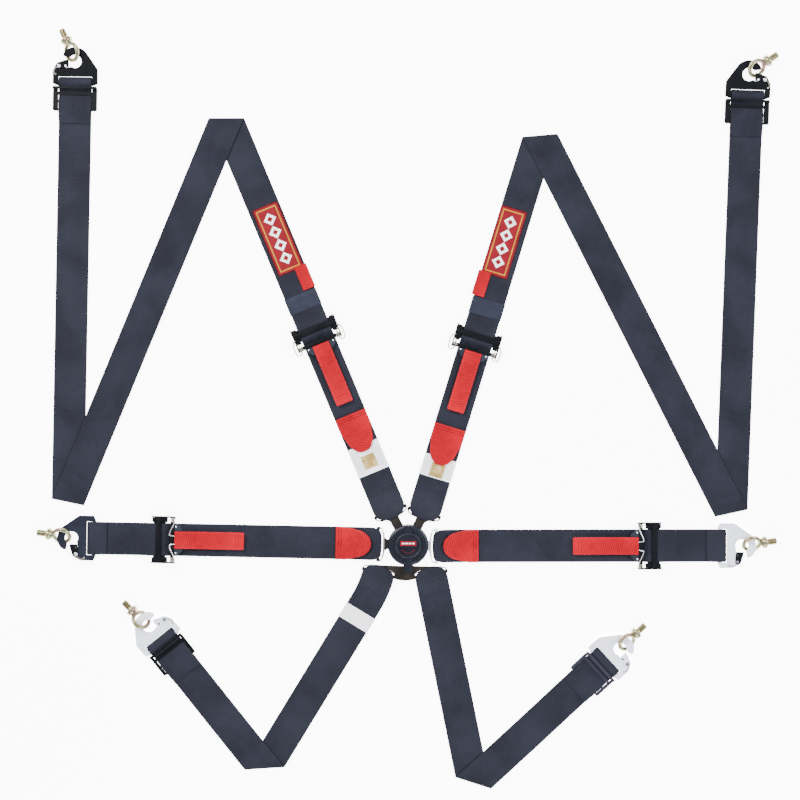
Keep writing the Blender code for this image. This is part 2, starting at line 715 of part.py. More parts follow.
def clip_set(name, centre, angle, mouth, ring_angle, colours):
    """Clip plate, gate and eye bolt at the end of a strap; returns the clip's frame on its bar."""
    rest_ring_height = EYE_RING_RADIUS * math.cos(EYE_RING_LEAN) + EYE_WIRE_RADIUS + 0.25
    reach = HOOK_CENTRE + RING_PATH * math.cos(math.radians(ring_angle))
    rise = math.asin((rest_ring_height - CLIP_BAR_Z) / reach)
    frame = at(*centre, CLIP_BAR_Z) @ heading(angle) @ Matrix.Rotation(-rise, 4, "Y")
    clip_plate(name + "_clip", frame, mouth, colours[0])
    clip_gate(name + "_gate", frame, mouth, colours[1])
    eye_bolt(name + "_eye_bolt", ring_frame(frame, mouth, ring_angle))
    return frame


# ---------------------------------------------------------------- strap runs

def tongue_loop(return_end):
    """Profile of a strap from its sewn return, round the tongue's bar and down to the floor."""
    bar = TONGUE_Z - WEB_THICK / 2
    profile = [(return_end, 0.0), (46.0, 0.0), (24.0, 1.6)]
    wrap = loop_profile(0.0, bar, BAR_LOOP, -1)
    profile += wrap
    profile += [(24.0, 4.6), (46.0, WEB_LAYER), (return_end + 4.0, WEB_LAYER), (return_end + 12.0, 0.0)]
    return profile


def roller_return(roller_x, tail_end, heights):
    """Profile round the adjuster's roller and back along the top as the free tail."""
    height = ROLLER_Z - WEB_THICK / 2
    points = []
    steps = 9
    for i in range(steps + 1):
        angle = math.radians(225) * i / steps
        points.append((roller_x + ROLLER_LOOP * math.sin(angle), height - ROLLER_LOOP * math.cos(angle)))
    x, top = points[-1]
    drop = top - WEB_LAYER
    points.append((x - drop, WEB_LAYER))
    points += heights
    points.append((tail_end, points[-1][1]))
    return points


def clip_loop(bar_x, return_length):
    """Profile round a clip's bar and back along the top to the sewn end."""
    profile = loop_profile(bar_x, BAR_LOOP, BAR_LOOP, 1)
    profile += [(bar_x - 22.0, WEB_LAYER), (bar_x - return_length, WEB_LAYER)]
    return profile


def slide_loop(bar_x):
    """Profile round a clip's bar, under the slide's first bar and over the other two."""
    profile = loop_profile(bar_x, BAR_LOOP, BAR_LOOP, 1)
    over = 5.9 + GAP
    profile += [(bar_x - 12.0, WEB_LAYER), (bar_x - 19.0, WEB_LAYER), (bar_x - 25.2, over),
                (bar_x - 45.0, over), (bar_x - 56.0, WEB_LAYER), (bar_x - 62.0, WEB_LAYER)]
    return profile


def adjuster_loop(return_length):
    """Profile of a strap's sewn start, round an adjuster's rear bar; x is counted from the bar."""
    profile = [(return_length, WEB_LAYER), (20.0, WEB_LAYER)]
    profile += loop_profile(0.0, BAR_LOOP, BAR_LOOP, -1)[::-1]
    return profile


def pull_end(name, route, outer, inner, levels):
    """Red folded end of a tail: a rounded piece lying on the tail's last stretch."""
    top = TAB_THICK / 2 + WEB_LAYER + WEB_THICK + GAP - WEB_THICK / 2 + 0.7
    profile = [(outer, levels[0] + top), ((outer + inner) / 2, levels[1] + top), (inner, levels[2] + top)]
    middle = route.place(outer, 0, levels[0] + top)
    mesh_profile = []
    steps = 6
    for i in range(steps + 1):
        share = i / steps
        x = outer + (inner - outer) * share
        if share <= 0.5:
            height = profile[0][1] + (profile[1][1] - profile[0][1]) * share * 2
        else:
            height = profile[1][1] + (profile[2][1] - profile[1][1]) * (share * 2 - 1)
        half = WEB_HALF * min(1.0, 0.62 + 0.38 * math.sqrt(max(0.0, 1 - max(0.0, (share - 0.55) / 0.45) ** 2)))
        mesh_profile.append((x, height, half))
    points = []
    for x, height, half in mesh_profile:
        points.append(route.place(x, half, height) - middle)
        points.append(route.place(x, -half, height) - middle)
    faces = [(2 * i, 2 * i + 1, 2 * i + 3, 2 * i + 2) for i in range(steps)]
    mesh = bpy.data.meshes.new(name)
    mesh.from_pydata(points, [], faces)
    item = mesh_object(name, mesh, "red", at(*middle))
    solid = item.modifiers.new("pull_thickness", "SOLIDIFY")
    solid.thickness = TAB_THICK * MM
    solid.offset = 0
    solid.use_even_offset = True
    return item


def strap_angle(start, end):
    return math.atan2(end[1] - start[1], end[0] - start[0])


def adjustable_strap(name, spec, first_target):
    """Strap from the tongue to its adjuster, with the free tail and red pull lying on it."""
    angle = strap_angle(spec["bar"], first_target)
    route = StrapRoute(spec["bar"], angle, end=first_target)
    roller_x = spec["adjuster"]
    pull_outer = spec["pull"] + 52.0
    on_slope = spec["pull"] < 40.0
    tail_rise = [(76.0, WEB_LAYER), (62.0, 2 * WEB_LAYER)] if on_slope else []
    return_end = 50.0 if on_slope else 66.0
    profile = tongue_loop(return_end)
    profile += roller_return(roller_x, pull_outer - 16.0, tail_rise)
    webbing(name + "_strap", route, profile, origin=(*spec["bar"], TONGUE_Z), pinch=((0.0, 24.0),))
    levels = (WEB_LAYER, 2.6, 9.6) if on_slope else (0.0, 0.0, 0.0)
    pull_end(name + "_pull", route, pull_outer, spec["pull"], levels)
    frame = at(*route.straight(roller_x, 0), 0) @ heading(math.degrees(angle))
    adjuster_frame(name + "_adjuster", frame)
    adjuster_lever(name + "_lever", frame)
    pull_tab(name + "_tab", frame, spec["tab"])
    return frame, angle


def shoulder(name, spec):
    frame, angle = adjustable_strap(name, spec, spec["folds"][0])
    rear = frame @ Vector((REAR_BAR_X, 0, REAR_BAR_Z))
    folds = ((spec["folds"][0], 1), (spec["folds"][1], -1))
    route = StrapRoute(rear.xy, angle, folds=folds, end=spec["clip"])
    profile = adjuster_loop(52.0) + [(60.0, 0.0)]
    profile += [(route.length - 80.0, 0.0)] + slide_loop(route.length)
    webbing(name + "_upper_strap", route, profile, origin=rear)
    last = math.degrees(math.atan2(route.last_direction.y, route.last_direction.x))
    slide_frame = at(*route.end_point, 0) @ heading(last)
    three_bar_slide(name + "_slide", slide_frame, 34.5, "black_steel")
    clip_set(name, route.end_point, last, spec["mouth"], spec["ring"], ("black_steel", "black_steel"))


def lap(name, spec):
    frame, angle = adjustable_strap(name, spec, spec["clip"])
    rear = frame @ Vector((REAR_BAR_X, 0, REAR_BAR_Z))
    route = StrapRoute(rear.xy, angle, end=spec["clip"])
    profile = adjuster_loop(30.0) + clip_loop(route.length, 46.0)
    webbing(name + "_outer_strap", route, profile, origin=rear)
    colours = ("black_steel", "black_steel") if name == "lap_l" else ("steel", "black_steel")
    clip_set(name, spec["clip"], math.degrees(angle), spec["mouth"], spec["ring"], colours)


def leg(name, spec):
    start = spec["bar"]
    bar_heading = math.radians(-90.0 - spec["bar_turn"])
    bend = 52.0 if name == "leg_l" else 0.0
    if bend:
        first = math.radians(-90.0 - 31.6)
        probe = StrapRoute(start, first, end=spec["fold"], bend_from=bar_heading, bend_length=bend)
        first = strap_angle(probe.after_bend()[0], spec["fold"])
    else:
        first = strap_angle(start, spec["fold"])
        bar_heading = first
    folds = ((spec["fold"], 1),)
    route = StrapRoute(start, first, folds=folds, end=spec["clip"], bend_from=bar_heading, bend_length=bend)
    top = 2 * FOLD_RADIUS - 0.1
    profile = tongue_loop(58.0)
    profile += [(route.length - 150.0, 0.0), (route.length - 80.0, -top)]
    profile += [(x, height - top) for x, height in slide_loop(route.length)]
    webbing(name + "_strap", route, profile, origin=(*start, TONGUE_Z), pinch=((0.0, 24.0),))
    last = math.degrees(math.atan2(route.last_direction.y, route.last_direction.x))
    slide_frame = at(*route.end_point, 0) @ heading(last)
    three_bar_slide(name + "_slide", slide_frame, 31.0, "black_steel")
    clip_set(name, route.end_point, last, spec["mouth"], spec["ring"], ("steel", "steel"))


# ---------------------------------------------------------------- assembly

def plan_degrees(point):
    return math.degrees(math.atan2(point[1], point[0]))


def build():
    tongues = {}
    for name, spec in SHOULDERS.items():
        tongues[name] = (spec["bar"], plan_degrees(spec["bar"]), math.degrees(strap_angle(spec["bar"],
                                                                                       spec["folds"][0])))
    for name, spec in LAPS.items():
        tongues[name] = (spec["bar"], plan_degrees(spec["bar"]), math.degrees(strap_angle(spec["bar"],
                                                                                       spec["clip"])))
    for name, (centre, lug_angle, strap) in tongues.items():
        tongue(name + "_tongue", centre, lug_angle, strap)
    leg_bars = [(LEGS[name]["bar"], -90.0 - LEGS[name]["bar_turn"]) for name in ("leg_l", "leg_r")]
    crotch_tongue(*leg_bars)
    lug_angles = {name: angle for name, (_, angle, _) in tongues.items()}
    lug_angles["leg"] = -90.0
    buckle_base()
    buckle_cover(lug_angles)
    released = {name: angle for name, angle in lug_angles.items() if name != "lap_l"}
    latch_spider(released)
    cam_plate()
    return_spring()
    pivot_bolt()
    release_handle()
    for name, spec in SHOULDERS.items():
        shoulder(name, spec)
    for name, spec in LAPS.items():
        lap(name, spec)
    for name, spec in LEGS.items():
        leg(name, spec)


build()
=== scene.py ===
"""Six-point racing harness laid out flat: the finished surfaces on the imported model.

Lengths are millimetres, and TO_M turns them into the frame's metres when an object
is made. Only the materials and the studio use metres throughout.
"""
import json
import math

import bpy
import bmesh
import numpy as np
from mathutils import Matrix, Vector


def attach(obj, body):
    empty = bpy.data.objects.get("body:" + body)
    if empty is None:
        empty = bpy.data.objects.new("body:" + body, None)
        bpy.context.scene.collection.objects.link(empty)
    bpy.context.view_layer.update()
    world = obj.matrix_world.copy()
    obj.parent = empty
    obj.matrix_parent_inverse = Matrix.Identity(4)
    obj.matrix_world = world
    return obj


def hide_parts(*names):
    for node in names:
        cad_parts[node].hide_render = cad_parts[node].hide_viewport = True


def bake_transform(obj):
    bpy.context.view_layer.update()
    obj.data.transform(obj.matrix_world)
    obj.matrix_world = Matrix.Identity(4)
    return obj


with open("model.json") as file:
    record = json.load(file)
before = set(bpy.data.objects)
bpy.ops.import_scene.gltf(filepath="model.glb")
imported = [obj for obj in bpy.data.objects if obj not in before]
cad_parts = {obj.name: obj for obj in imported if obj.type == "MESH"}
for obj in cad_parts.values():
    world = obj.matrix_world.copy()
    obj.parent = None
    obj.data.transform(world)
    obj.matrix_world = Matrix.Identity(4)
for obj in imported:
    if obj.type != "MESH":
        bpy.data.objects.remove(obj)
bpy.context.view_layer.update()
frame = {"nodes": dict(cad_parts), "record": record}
JOINTS = {joint["name"]: joint for joint in frame["record"]["behaviour"]["joints"]}
MOUNTS = {mount["name"]: mount for mount in frame["record"]["mounts"]}

TO_M = 0.001
GAP = 0.3

# Webbing
WEB_WIDTH = 50.8
WEB_THICK = 1.4
WEB_LAYER = WEB_THICK + GAP
FOLD_RADIUS = 1.2
TAB_WIDTH = 27.0
TAB_THICK = 2.4
RUN_STEP = 3.0
SLANT_REACH = 75.0
PULL_LENGTH = 52.0
TAIL_UNDER_PULL = 36.0
BLEND_START = 112.0

# Hardware sizes shared with the model
TONGUE_Z = 9.8
BAR_LOOP = 4.0
ROLLER_RADIUS = 3.5
ROLLER_LOOP = ROLLER_RADIUS + GAP + WEB_THICK / 2
ROLLER_Z = WEB_THICK / 2 + ROLLER_LOOP
REAR_BAR_X = 13.0
LEVER_PIVOT_X = -15.0
LEVER_PIVOT_Z = 9.0
LEVER_TOP = LEVER_PIVOT_Z + 1.0
SIDE_OUTER = 36.5
SIDES = ((-1, "r"), (1, "l"))
SLIDE_TOP = 5.9
SLOT_FILL = 5.5
COVER_TOP = 22.0
SCREW_CIRCLE = 25.4
HANDLE_TOP = 27.4
CLIP_THICK = 3.0
GATE_PIVOT = (27.0, 25.0)
EYE_RING_RADIUS = 12.75
EYE_WIRE_RADIUS = 3.2

# Layout on the floor: where each strap starts, folds and ends
SHOULDERS = {
    "shoulder_l": dict(bar=(-27.9, 51.6), adjuster=301.0, folds=((-283, 664), (-529.3, 67.3)),
                       clip=(-517.2, 719.2), mouth=1, pull=112.0, tab=103.0, patch=(92.0, 201.0, -22.0, 18.5),
                       flag=(56.0, 95.0, -27.3, -7.4), label=(66.0, 113.0, -25.2, 25.2)),
    "shoulder_r": dict(bar=(25.0, 50.0), adjuster=280.0, folds=((205, 637), (502.2, 50)),
                       clip=(527.0, 699.0), mouth=-1, pull=88.0, tab=100.0, patch=(93.0, 201.0, -16.0, 24.5),
                       flag=(55.0, 95.0, 9.5, 29.5), label=(56.0, 90.0, -25.2, 25.2)),
}
LAPS = {
    "lap_l": dict(bar=(-47.0, 1.2), adjuster=335.0, clip=(-490.9, 10.0), mouth=1, tab=111.0, pull=14.0),
    "lap_r": dict(bar=(43.6, -2.3), adjuster=333.0, clip=(486.1, -1.7), mouth=-1, tab=105.0, pull=14.0),
}
LEGS = {
    "leg_l": dict(bar=(-46.0, -44.0), bar_turn=15.0, bend=52.0, fold=(-223.0, -348.0), clip=(-381.2, -151.2),
                  mouth=-1),
    "leg_r": dict(bar=(35.0, -46.0), bar_turn=-11.4, bend=0.0, fold=(101.0, -370.5), clip=(303.8, -183.8),
                  mouth=-1),
}


# ---------------------------------------------------------------- materials

class Look:
    """A material with a Principled shader and short calls for its nodes."""

    def __init__(self, name):
        self.skin = bpy.data.materials.new(name)
        self.skin.use_nodes = True
        self.tree = self.skin.node_tree
        self.shader = self.tree.nodes["Principled BSDF"]

    def feed(self, socket, value):
        if isinstance(value, bpy.types.NodeSocket):
            self.tree.links.new(value, socket)
        else:
            socket.default_value = value

    def node(self, kind, inputs=(), **settings):
        made = self.tree.nodes.new(kind)
        for key, value in settings.items():
            setattr(made, key, value)
        for key, value in dict(inputs).items():
            self.feed(made.inputs[key], value)
        return made

    def math(self, operation, first, second=0.0, third=0.0):
        made = self.node("ShaderNodeMath", {0: first, 1: second, 2: third}, operation=operation)
        return made.outputs[0]

    def mix(self, share, first, second):
        made = self.node("ShaderNodeMix", data_type="RGBA")
        self.feed(made.inputs[0], share)
        self.feed(made.inputs[6], first)
        self.feed(made.inputs[7], second)
        return made.outputs[2]

    def ramp(self, value, low, high, start=0.0, end=1.0):
        """A number mapped smoothly from the range low..high to start..end."""
        made = self.node("ShaderNodeMapRange", {0: value, 1: low, 2: high, 3: start, 4: end},
                         interpolation_type="SMOOTHSTEP")
        return made.outputs[0]

    def wave(self, value, pitch):
        """0..1 ripple of a length in metres."""
        turned = self.math("MULTIPLY", value, 2 * math.pi / pitch)
        return self.math("MULTIPLY_ADD", self.math("SINE", turned), 0.5, 0.5)

    def noise(self, vector, scale, detail=3.0, distortion=0.0):
        made = self.node("ShaderNodeTexNoise", {"Vector": vector, "Scale": scale, "Detail": detail,
                                                "Distortion": distortion})
        return made.outputs["Fac"]

    def set(self, **values):
        for key, value in values.items():
            self.feed(self.shader.inputs[key.replace("_", " ")], value)

    def bump(self, height, distance, strength=1.0):
        made = self.node("ShaderNodeBump", {"Height": height, "Distance": distance, "Strength": strength})
        self.tree.links.new(made.outputs["Normal"], self.shader.inputs["Normal"])


def rgb(red, green, blue):
    return (red, green, blue, 1.0)


def webbing_look(name, dark, light, rib_pitch, slope, column_pitch, half,
                 edge_shade=0.55, columns=0.22, gloss=0.12, rib_shading=0.3):
    """Woven webbing on its own length and width: ribs across or aslant, columns along, selvedges, with painted
    shade in the weave's valleys and at the edges.
    """
    look = Look(name)
    place = look.node("ShaderNodeUVMap", uv_map="strip").outputs[0]
    split = look.node("ShaderNodeSeparateXYZ", {0: place})
    along, across = split.outputs[0], split.outputs[1]
    slanted = look.math("MULTIPLY_ADD", across, slope, along)
    rib = look.wave(slanted, rib_pitch)
    column = look.wave(across, column_pitch)
    yarn = look.noise(place, 1400.0, 2.0)
    tone = look.noise(place, 16.0, 4.0, 0.4)
    worn = look.noise(place, 90.0, 3.0)
    ribbed = look.math("MULTIPLY", rib, 1.0 - columns)
    height = look.math("ADD", ribbed, look.math("MULTIPLY", column, columns))
    from_edge = look.math("SUBTRACT", half, look.math("ABSOLUTE", across))
    selvedge = look.ramp(from_edge, 0.0022, 0.0034, 1.0, 0.0)
    rim = look.ramp(from_edge, 0.0, 0.0012, 1.0, 0.0)
    height = look.math("MULTIPLY_ADD", yarn, 0.35, height)
    height = look.math("ADD", height, look.math("MULTIPLY", selvedge, look.wave(along, rib_pitch * 0.8)))
    # Painted shade and highlight: the weave's height lightens the ribs and darkens the valleys between them
    share = look.math("MULTIPLY_ADD", height, rib_shading, 0.46 - rib_shading)
    share = look.math("ADD", share, look.ramp(tone, 0.3, 0.7, -0.12, 0.22))
    share = look.math("ADD", share, look.ramp(worn, 0.35, 0.7, -0.06, 0.1))
    colour = look.mix(look.math("MINIMUM", look.math("MAXIMUM", share, 0.0), 1.0), dark, light)
    # Painted shade at the strap's rounded edges, and a little over the selvedges
    shade = look.math("SUBTRACT", 1.0, look.math("MULTIPLY", rim, edge_shade))
    shade = look.math("MULTIPLY", shade, look.ramp(selvedge, 0.0, 1.0, 1.0, 0.86))
    shaded = look.mix(shade, rgb(dark[0] * 0.3, dark[1] * 0.3, dark[2] * 0.3), colour)
    look.set(Base_Color=shaded, Roughness=look.ramp(worn, 0.3, 0.7, 0.62, 0.8), Sheen_Weight=gloss * 0.2,
             Sheen_Roughness=0.45, Specular_IOR_Level=gloss)
    wavy = look.noise(place, 26.0, 2.0, 0.5)
    look.bump(look.math("MULTIPLY_ADD", wavy, 5.0, height), 0.0003, 0.6)
    return look.skin


def coated_look(name, colour, light, roughness, metallic, coat=0.0, shine=0.5):
    """Painted, anodised or plated metal with a fine grain, handling marks and scuffed tone."""
    look = Look(name)
    place = look.node("ShaderNodeTexCoord").outputs["Object"]
    tone = look.noise(place, 35.0, 5.0, 0.6)
    fine = look.noise(place, 2080.0, 2.0)
    stretched = look.node("ShaderNodeMapping", {"Vector": place, "Scale": (40.0, 900.0, 200.0),
                                                "Rotation": (0.0, 0.0, 0.6)}).outputs[0]
    scratch = look.ramp(look.noise(stretched, 3.0, 4.0), 0.62, 0.72)
    share = look.ramp(tone, 0.3, 0.75, 0.0, 0.55)
    share = look.math("MULTIPLY_ADD", scratch, 0.35, share)
    look.set(Base_Color=look.mix(share, rgb(*colour), rgb(*light)), Metallic=metallic,
             Roughness=look.math("MULTIPLY_ADD", look.math("SUBTRACT", tone, 0.5), 0.25, roughness),
             Coat_Weight=coat, Coat_Roughness=0.25, Specular_IOR_Level=shine)
    look.bump(look.math("MULTIPLY_ADD", scratch, -0.4, fine), 0.00006, 0.5)
    return look.skin


def reflection_painted_plate_look(name, bright, edge):
    """Bright zinc plate with a painted reflection: faces turned upwards are near white and faces turned
    sideways are painted dark.
    """
    look = Look(name)
    place = look.node("ShaderNodeTexCoord")
    facing = look.node("ShaderNodeSeparateXYZ", {0: place.outputs["Normal"]}).outputs[2]
    side = look.ramp(look.math("ABSOLUTE", facing), 0.8, 0.97, 1.0, 0.0)
    cloud = look.noise(place.outputs["Object"], 60.0, 5.0, 0.8)
    spangle = look.noise(place.outputs["Object"], 420.0, 3.0)
    dull = rgb(bright[0] * 0.86, bright[1] * 0.88, bright[2] * 0.98)
    tinted = look.mix(look.ramp(cloud, 0.35, 0.7), bright, dull)
    # Painted reflection: the sideways faces take the dark edge colour, the upward faces the near-white tone
    look.set(Base_Color=look.mix(side, tinted, edge), Metallic=0.35,
             Roughness=look.ramp(spangle, 0.3, 0.7, 0.26, 0.4))
    look.bump(spangle, 0.00006, 0.5)
    return look.skin


def zinc_look(name):
    """Yellow passivated zinc: gold that drifts to green and pink."""
    look = Look(name)
    place = look.node("ShaderNodeTexCoord").outputs["Object"]
    drift = look.noise(place, 110.0, 3.0, 1.5)
    patch = look.noise(place, 45.0, 3.0, 0.5)
    gold = look.mix(look.ramp(drift, 0.35, 0.62), rgb(0.27, 0.21, 0.1), rgb(0.2, 0.22, 0.14))
    tinted = look.mix(look.ramp(patch, 0.52, 0.68), gold, rgb(0.27, 0.17, 0.14))
    fine = look.noise(place, 900.0, 2.0)
    look.set(Base_Color=tinted, Metallic=0.95, Roughness=look.ramp(fine, 0.3, 0.7, 0.2, 0.36))
    look.bump(fine, 0.00005, 0.5)
    return look.skin


def printed_look(name, first, second, roughness=0.5, grain=700.0):
    """Satin label or thread: two close tones over a fine woven grain."""
    look = Look(name)
    place = look.node("ShaderNodeTexCoord").outputs["Object"]
    tone = look.noise(place, 60.0, 4.0)
    fine = look.noise(place, grain, 2.0)
    look.set(Base_Color=look.mix(look.ramp(tone, 0.3, 0.7), rgb(*first), rgb(*second)), Roughness=roughness,
             Specular_IOR_Level=0.15)
    look.bump(fine, 0.0001, 0.5)
    return look.skin


def foil_look(name):
    """Plain gold foil square with a soft brushed sparkle."""
    look = Look(name)
    place = look.node("ShaderNodeTexCoord").outputs["Object"]
    fleck = look.noise(place, 1300.0, 2.0)
    band = look.noise(place, 80.0, 2.0, 1.0)
    colour = look.mix(look.ramp(band, 0.3, 0.7), rgb(0.5, 0.34, 0.1), rgb(0.78, 0.62, 0.3))
    look.set(Base_Color=colour, Metallic=0.9, Roughness=look.ramp(fleck, 0.3, 0.7, 0.22, 0.45))
    look.bump(fleck, 0.00005, 0.4)
    return look.skin


HALF_M = WEB_WIDTH / 2 * TO_M
# Dark and light tones of the webbing: the weave's painted shade and highlight run between them, as does its
# random tone
NAVY_DARK = rgb(0.003, 0.0035, 0.007)
NAVY = rgb(0.0195, 0.021, 0.034)
RED_DARK = rgb(0.2, 0.0, 0.004)
RED = rgb(0.54, 0.0, 0.014)
RED_WEAVE = (0.0029, 0.2, 0.0034)
# Red webbing's edge shade, column share, gloss and rib shading: the edge shade and the rib shading are painted
# shade and highlight
RED_SHADING_AND_GLOSS = (0.25, 0.08, 0.1, 0.5)
LOOKS = {
    "rib": webbing_look("webbing_ribbed", NAVY_DARK, NAVY, 0.0021, 0.0, 0.0042, HALF_M),
    "twill": webbing_look("webbing_twill", NAVY_DARK, NAVY, 0.0019, 0.9, 0.0034, HALF_M),
    "red": webbing_look("red_webbing", RED_DARK, RED, *RED_WEAVE, TAB_WIDTH / 2 * TO_M, *RED_SHADING_AND_GLOSS),
    "red_wide": webbing_look("red_pull_webbing", RED_DARK, RED, *RED_WEAVE, HALF_M, *RED_SHADING_AND_GLOSS),
    # Plate with a painted reflection: near white on top, dark on its sides
    "bright": reflection_painted_plate_look("plate_painted_reflection", rgb(0.92, 0.93, 1.0), rgb(0.05, 0.055, 0.07)),
    "zinc": zinc_look("yellow_zinc"),
    "foil": foil_look("gold_foil"),
}
# Dark and light tone, roughness, metallic share, coat and shine
COATED = {
    "cover": ("cover_black", (0.004, 0.005, 0.01), (0.011, 0.013, 0.023), 0.38, 0.0, 0.05, 0.12),
    "black_steel": ("black_coated_steel", (0.0015, 0.0018, 0.003), (0.005, 0.0055, 0.0085), 0.5, 0.0, 0.0,
                    0.07),
    "navy_plate": ("navy_coated_steel", (0.0065, 0.0075, 0.015), (0.014, 0.017, 0.03), 0.5, 0.0, 0.0, 0.1),
    "lever": ("lever_steel", (0.009, 0.012, 0.02), (0.028, 0.035, 0.05), 0.4, 0.15, 0.0, 0.2),
    "purple_steel": ("slide_steel", (0.016, 0.014, 0.027), (0.036, 0.033, 0.052), 0.4, 0.15, 0.0, 0.2),
    "bronze": ("bronze_steel", (0.009, 0.007, 0.0055), (0.033, 0.026, 0.021), 0.38, 0.25, 0.0, 0.2),
    "chrome": ("wire_chrome", (0.7, 0.71, 0.73), (0.9, 0.9, 0.92), 0.14, 1.0),
    "wire": ("wire_bronze", (0.2, 0.17, 0.13), (0.42, 0.37, 0.3), 0.25, 1.0),
    "badge": ("badge_black", (0.004, 0.005, 0.009), (0.01, 0.011, 0.019), 0.35, 0.0, 0.05, 0.1),
    # Painted shade: a near-black fill for screw sockets, rivet dimples and holes
    "hole": ("recess_painted_shade", (0.003, 0.003, 0.004), (0.01, 0.01, 0.012), 0.7, 0.0),
}
# Two close tones, roughness and grain
PRINTED = {
    "white_label": ("white_label", (0.88, 0.89, 0.93), (0.94, 0.95, 0.98)),
    "grey_print": ("grey_print", (0.42, 0.44, 0.5), (0.5, 0.52, 0.58)),
    "patch_red": ("patch_red", (0.14, 0.001, 0.006), (0.18, 0.0015, 0.009), 0.6),
    "patch_yellow": ("patch_yellow", (0.32, 0.14, 0.008), (0.4, 0.19, 0.014), 0.6),
    "patch_white": ("patch_white", (0.82, 0.82, 0.84), (0.92, 0.92, 0.92), 0.6),
    "navy_thread": ("navy_thread", (0.006, 0.007, 0.011), (0.014, 0.016, 0.025), 0.5),
    "red_thread": ("red_thread", (0.07, 0.0, 0.002), (0.12, 0.0, 0.004), 0.5),
    "keeper": ("keeper_navy", (0.009, 0.011, 0.022), (0.013, 0.016, 0.029), 0.6, 900.0),
}
LOOKS.update({key: coated_look(*row) for key, row in COATED.items()})
LOOKS.update({key: printed_look(*row) for key, row in PRINTED.items()})


# ---------------------------------------------------------------- helpers

def shift(x, y, z):
    return Matrix.Translation((x, y, z))


def turn_z(angle):
    return Matrix.Rotation(angle, 4, "Z")


def turn_out(side):
    """Turns a lathe's axis outwards, to the side of an adjuster."""
    return Matrix.Rotation(-side * math.pi / 2, 4, "X")


def axes_at(origin, ahead, across, up):
    return Matrix.Translation(origin) @ Matrix((ahead, across, up)).transposed().to_4x4()


def mirrored(outline, side):
    return [(x, y * side) for x, y in outline][::side]


def add_piece(name, points, faces, look, body, slot, frame_mm=None, smooth=True, sharp=40.0):
    """A mesh object from points in millimetres, riding on a body."""
    place = frame_mm or Matrix.Identity(4)
    mesh = bpy.data.meshes.new(name)
    placed = [(place @ Vector(point)) * TO_M for point in points]
    mesh.from_pydata(placed, [], faces)
    return finish_mesh(name, mesh, look, body, slot, smooth, sharp)


def finish_mesh(name, mesh, look, body, slot, smooth=True, sharp=40.0):
    looks = look if isinstance(look, (list, tuple)) else [look]
    for key in looks:
        mesh.materials.append(LOOKS[key])
    if smooth:
        mesh.shade_smooth()
        mesh.set_sharp_from_angle(angle=math.radians(sharp))
    item = bpy.data.objects.new(name, mesh)
    bpy.context.scene.collection.objects.link(item)
    if body is not None:
        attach(item, body)
    return item


def lathe(name, profile, look, body, slot, frame_mm, segments=48, sharp=35.0):
    """Turned piece: profile points (radius, height), from the axis at the top to the axis at the bottom."""
    points, faces = [], []
    rings = []
    for radius, height in profile:
        if radius < 1e-6:
            rings.append([len(points)])
            points.append((0, 0, height))
            continue
        rings.append(list(range(len(points), len(points) + segments)))
        for i in range(segments):
            angle = 2 * math.pi * i / segments
            points.append((radius * math.cos(angle), radius * math.sin(angle), height))
    for upper, lower in zip(rings, rings[1:]):
        for i in range(segments):
            j = (i + 1) % segments
            if len(upper) == 1:
                faces.append((upper[0], lower[i], lower[j]))
            elif len(lower) == 1:
                faces.append((upper[i], lower[0], upper[j]))
            else:
                faces.append((upper[i], lower[i], lower[j], upper[j]))
    return add_piece(name, points, faces, look, body, slot, frame_mm, True, sharp)


def tube_points(path, radius, sides=10):
    """Points and faces of a round wire along a path, with closed ends."""
    points, faces = [], []
    up = Vector((0.0, 0.0, 1.0))
    path = [Vector(point) for point in path]
    for i, point in enumerate(path):
        ahead = path[min(i + 1, len(path) - 1)] - path[max(i - 1, 0)]
        ahead.normalize()
        side = ahead.cross(up)
        if side.length < 0.1:
            side = ahead.cross(Vector((1.0, 0.0, 0.0)))
        side.normalize()
        over = side.cross(ahead)
        for k in range(sides):
            angle = 2 * math.pi * k / sides
            points.append(point + radius * (math.cos(angle) * side + math.sin(angle) * over))
    for i in range(len(path) - 1):
        for k in range(sides):
            j = (k + 1) % sides
            faces.append((i * sides + k, i * sides + j, (i + 1) * sides + j, (i + 1) * sides + k))
    faces.append(tuple(range(sides))[::-1])
    last = (len(path) - 1) * sides
    faces.append(tuple(last + k for k in range(sides)))
    return points, faces


def curve_path(points, steps=6):
    """Smooth path through the points (Catmull-Rom)."""
    points = [Vector(point) for point in points]
    full = [2 * points[0] - points[1]] + points + [2 * points[-1] - points[-2]]
    path = []
    for a, b, c, d in zip(full, full[1:], full[2:], full[3:]):
        for i in range(steps):
            t = i / steps
            path.append(0.5 * ((2 * b) + (c - a) * t + (2 * a - 5 * b + 4 * c - d) * t * t
                               + (3 * b - a - 3 * c + d) * t ** 3))
    path.append(points[-1])
    return path


def wire(name, points, radius, look, body, slot, frame_mm, steps=6):
    made, faces = tube_points(curve_path(points, steps), radius)
    return add_piece(name, made, faces, look, body, slot, frame_mm)


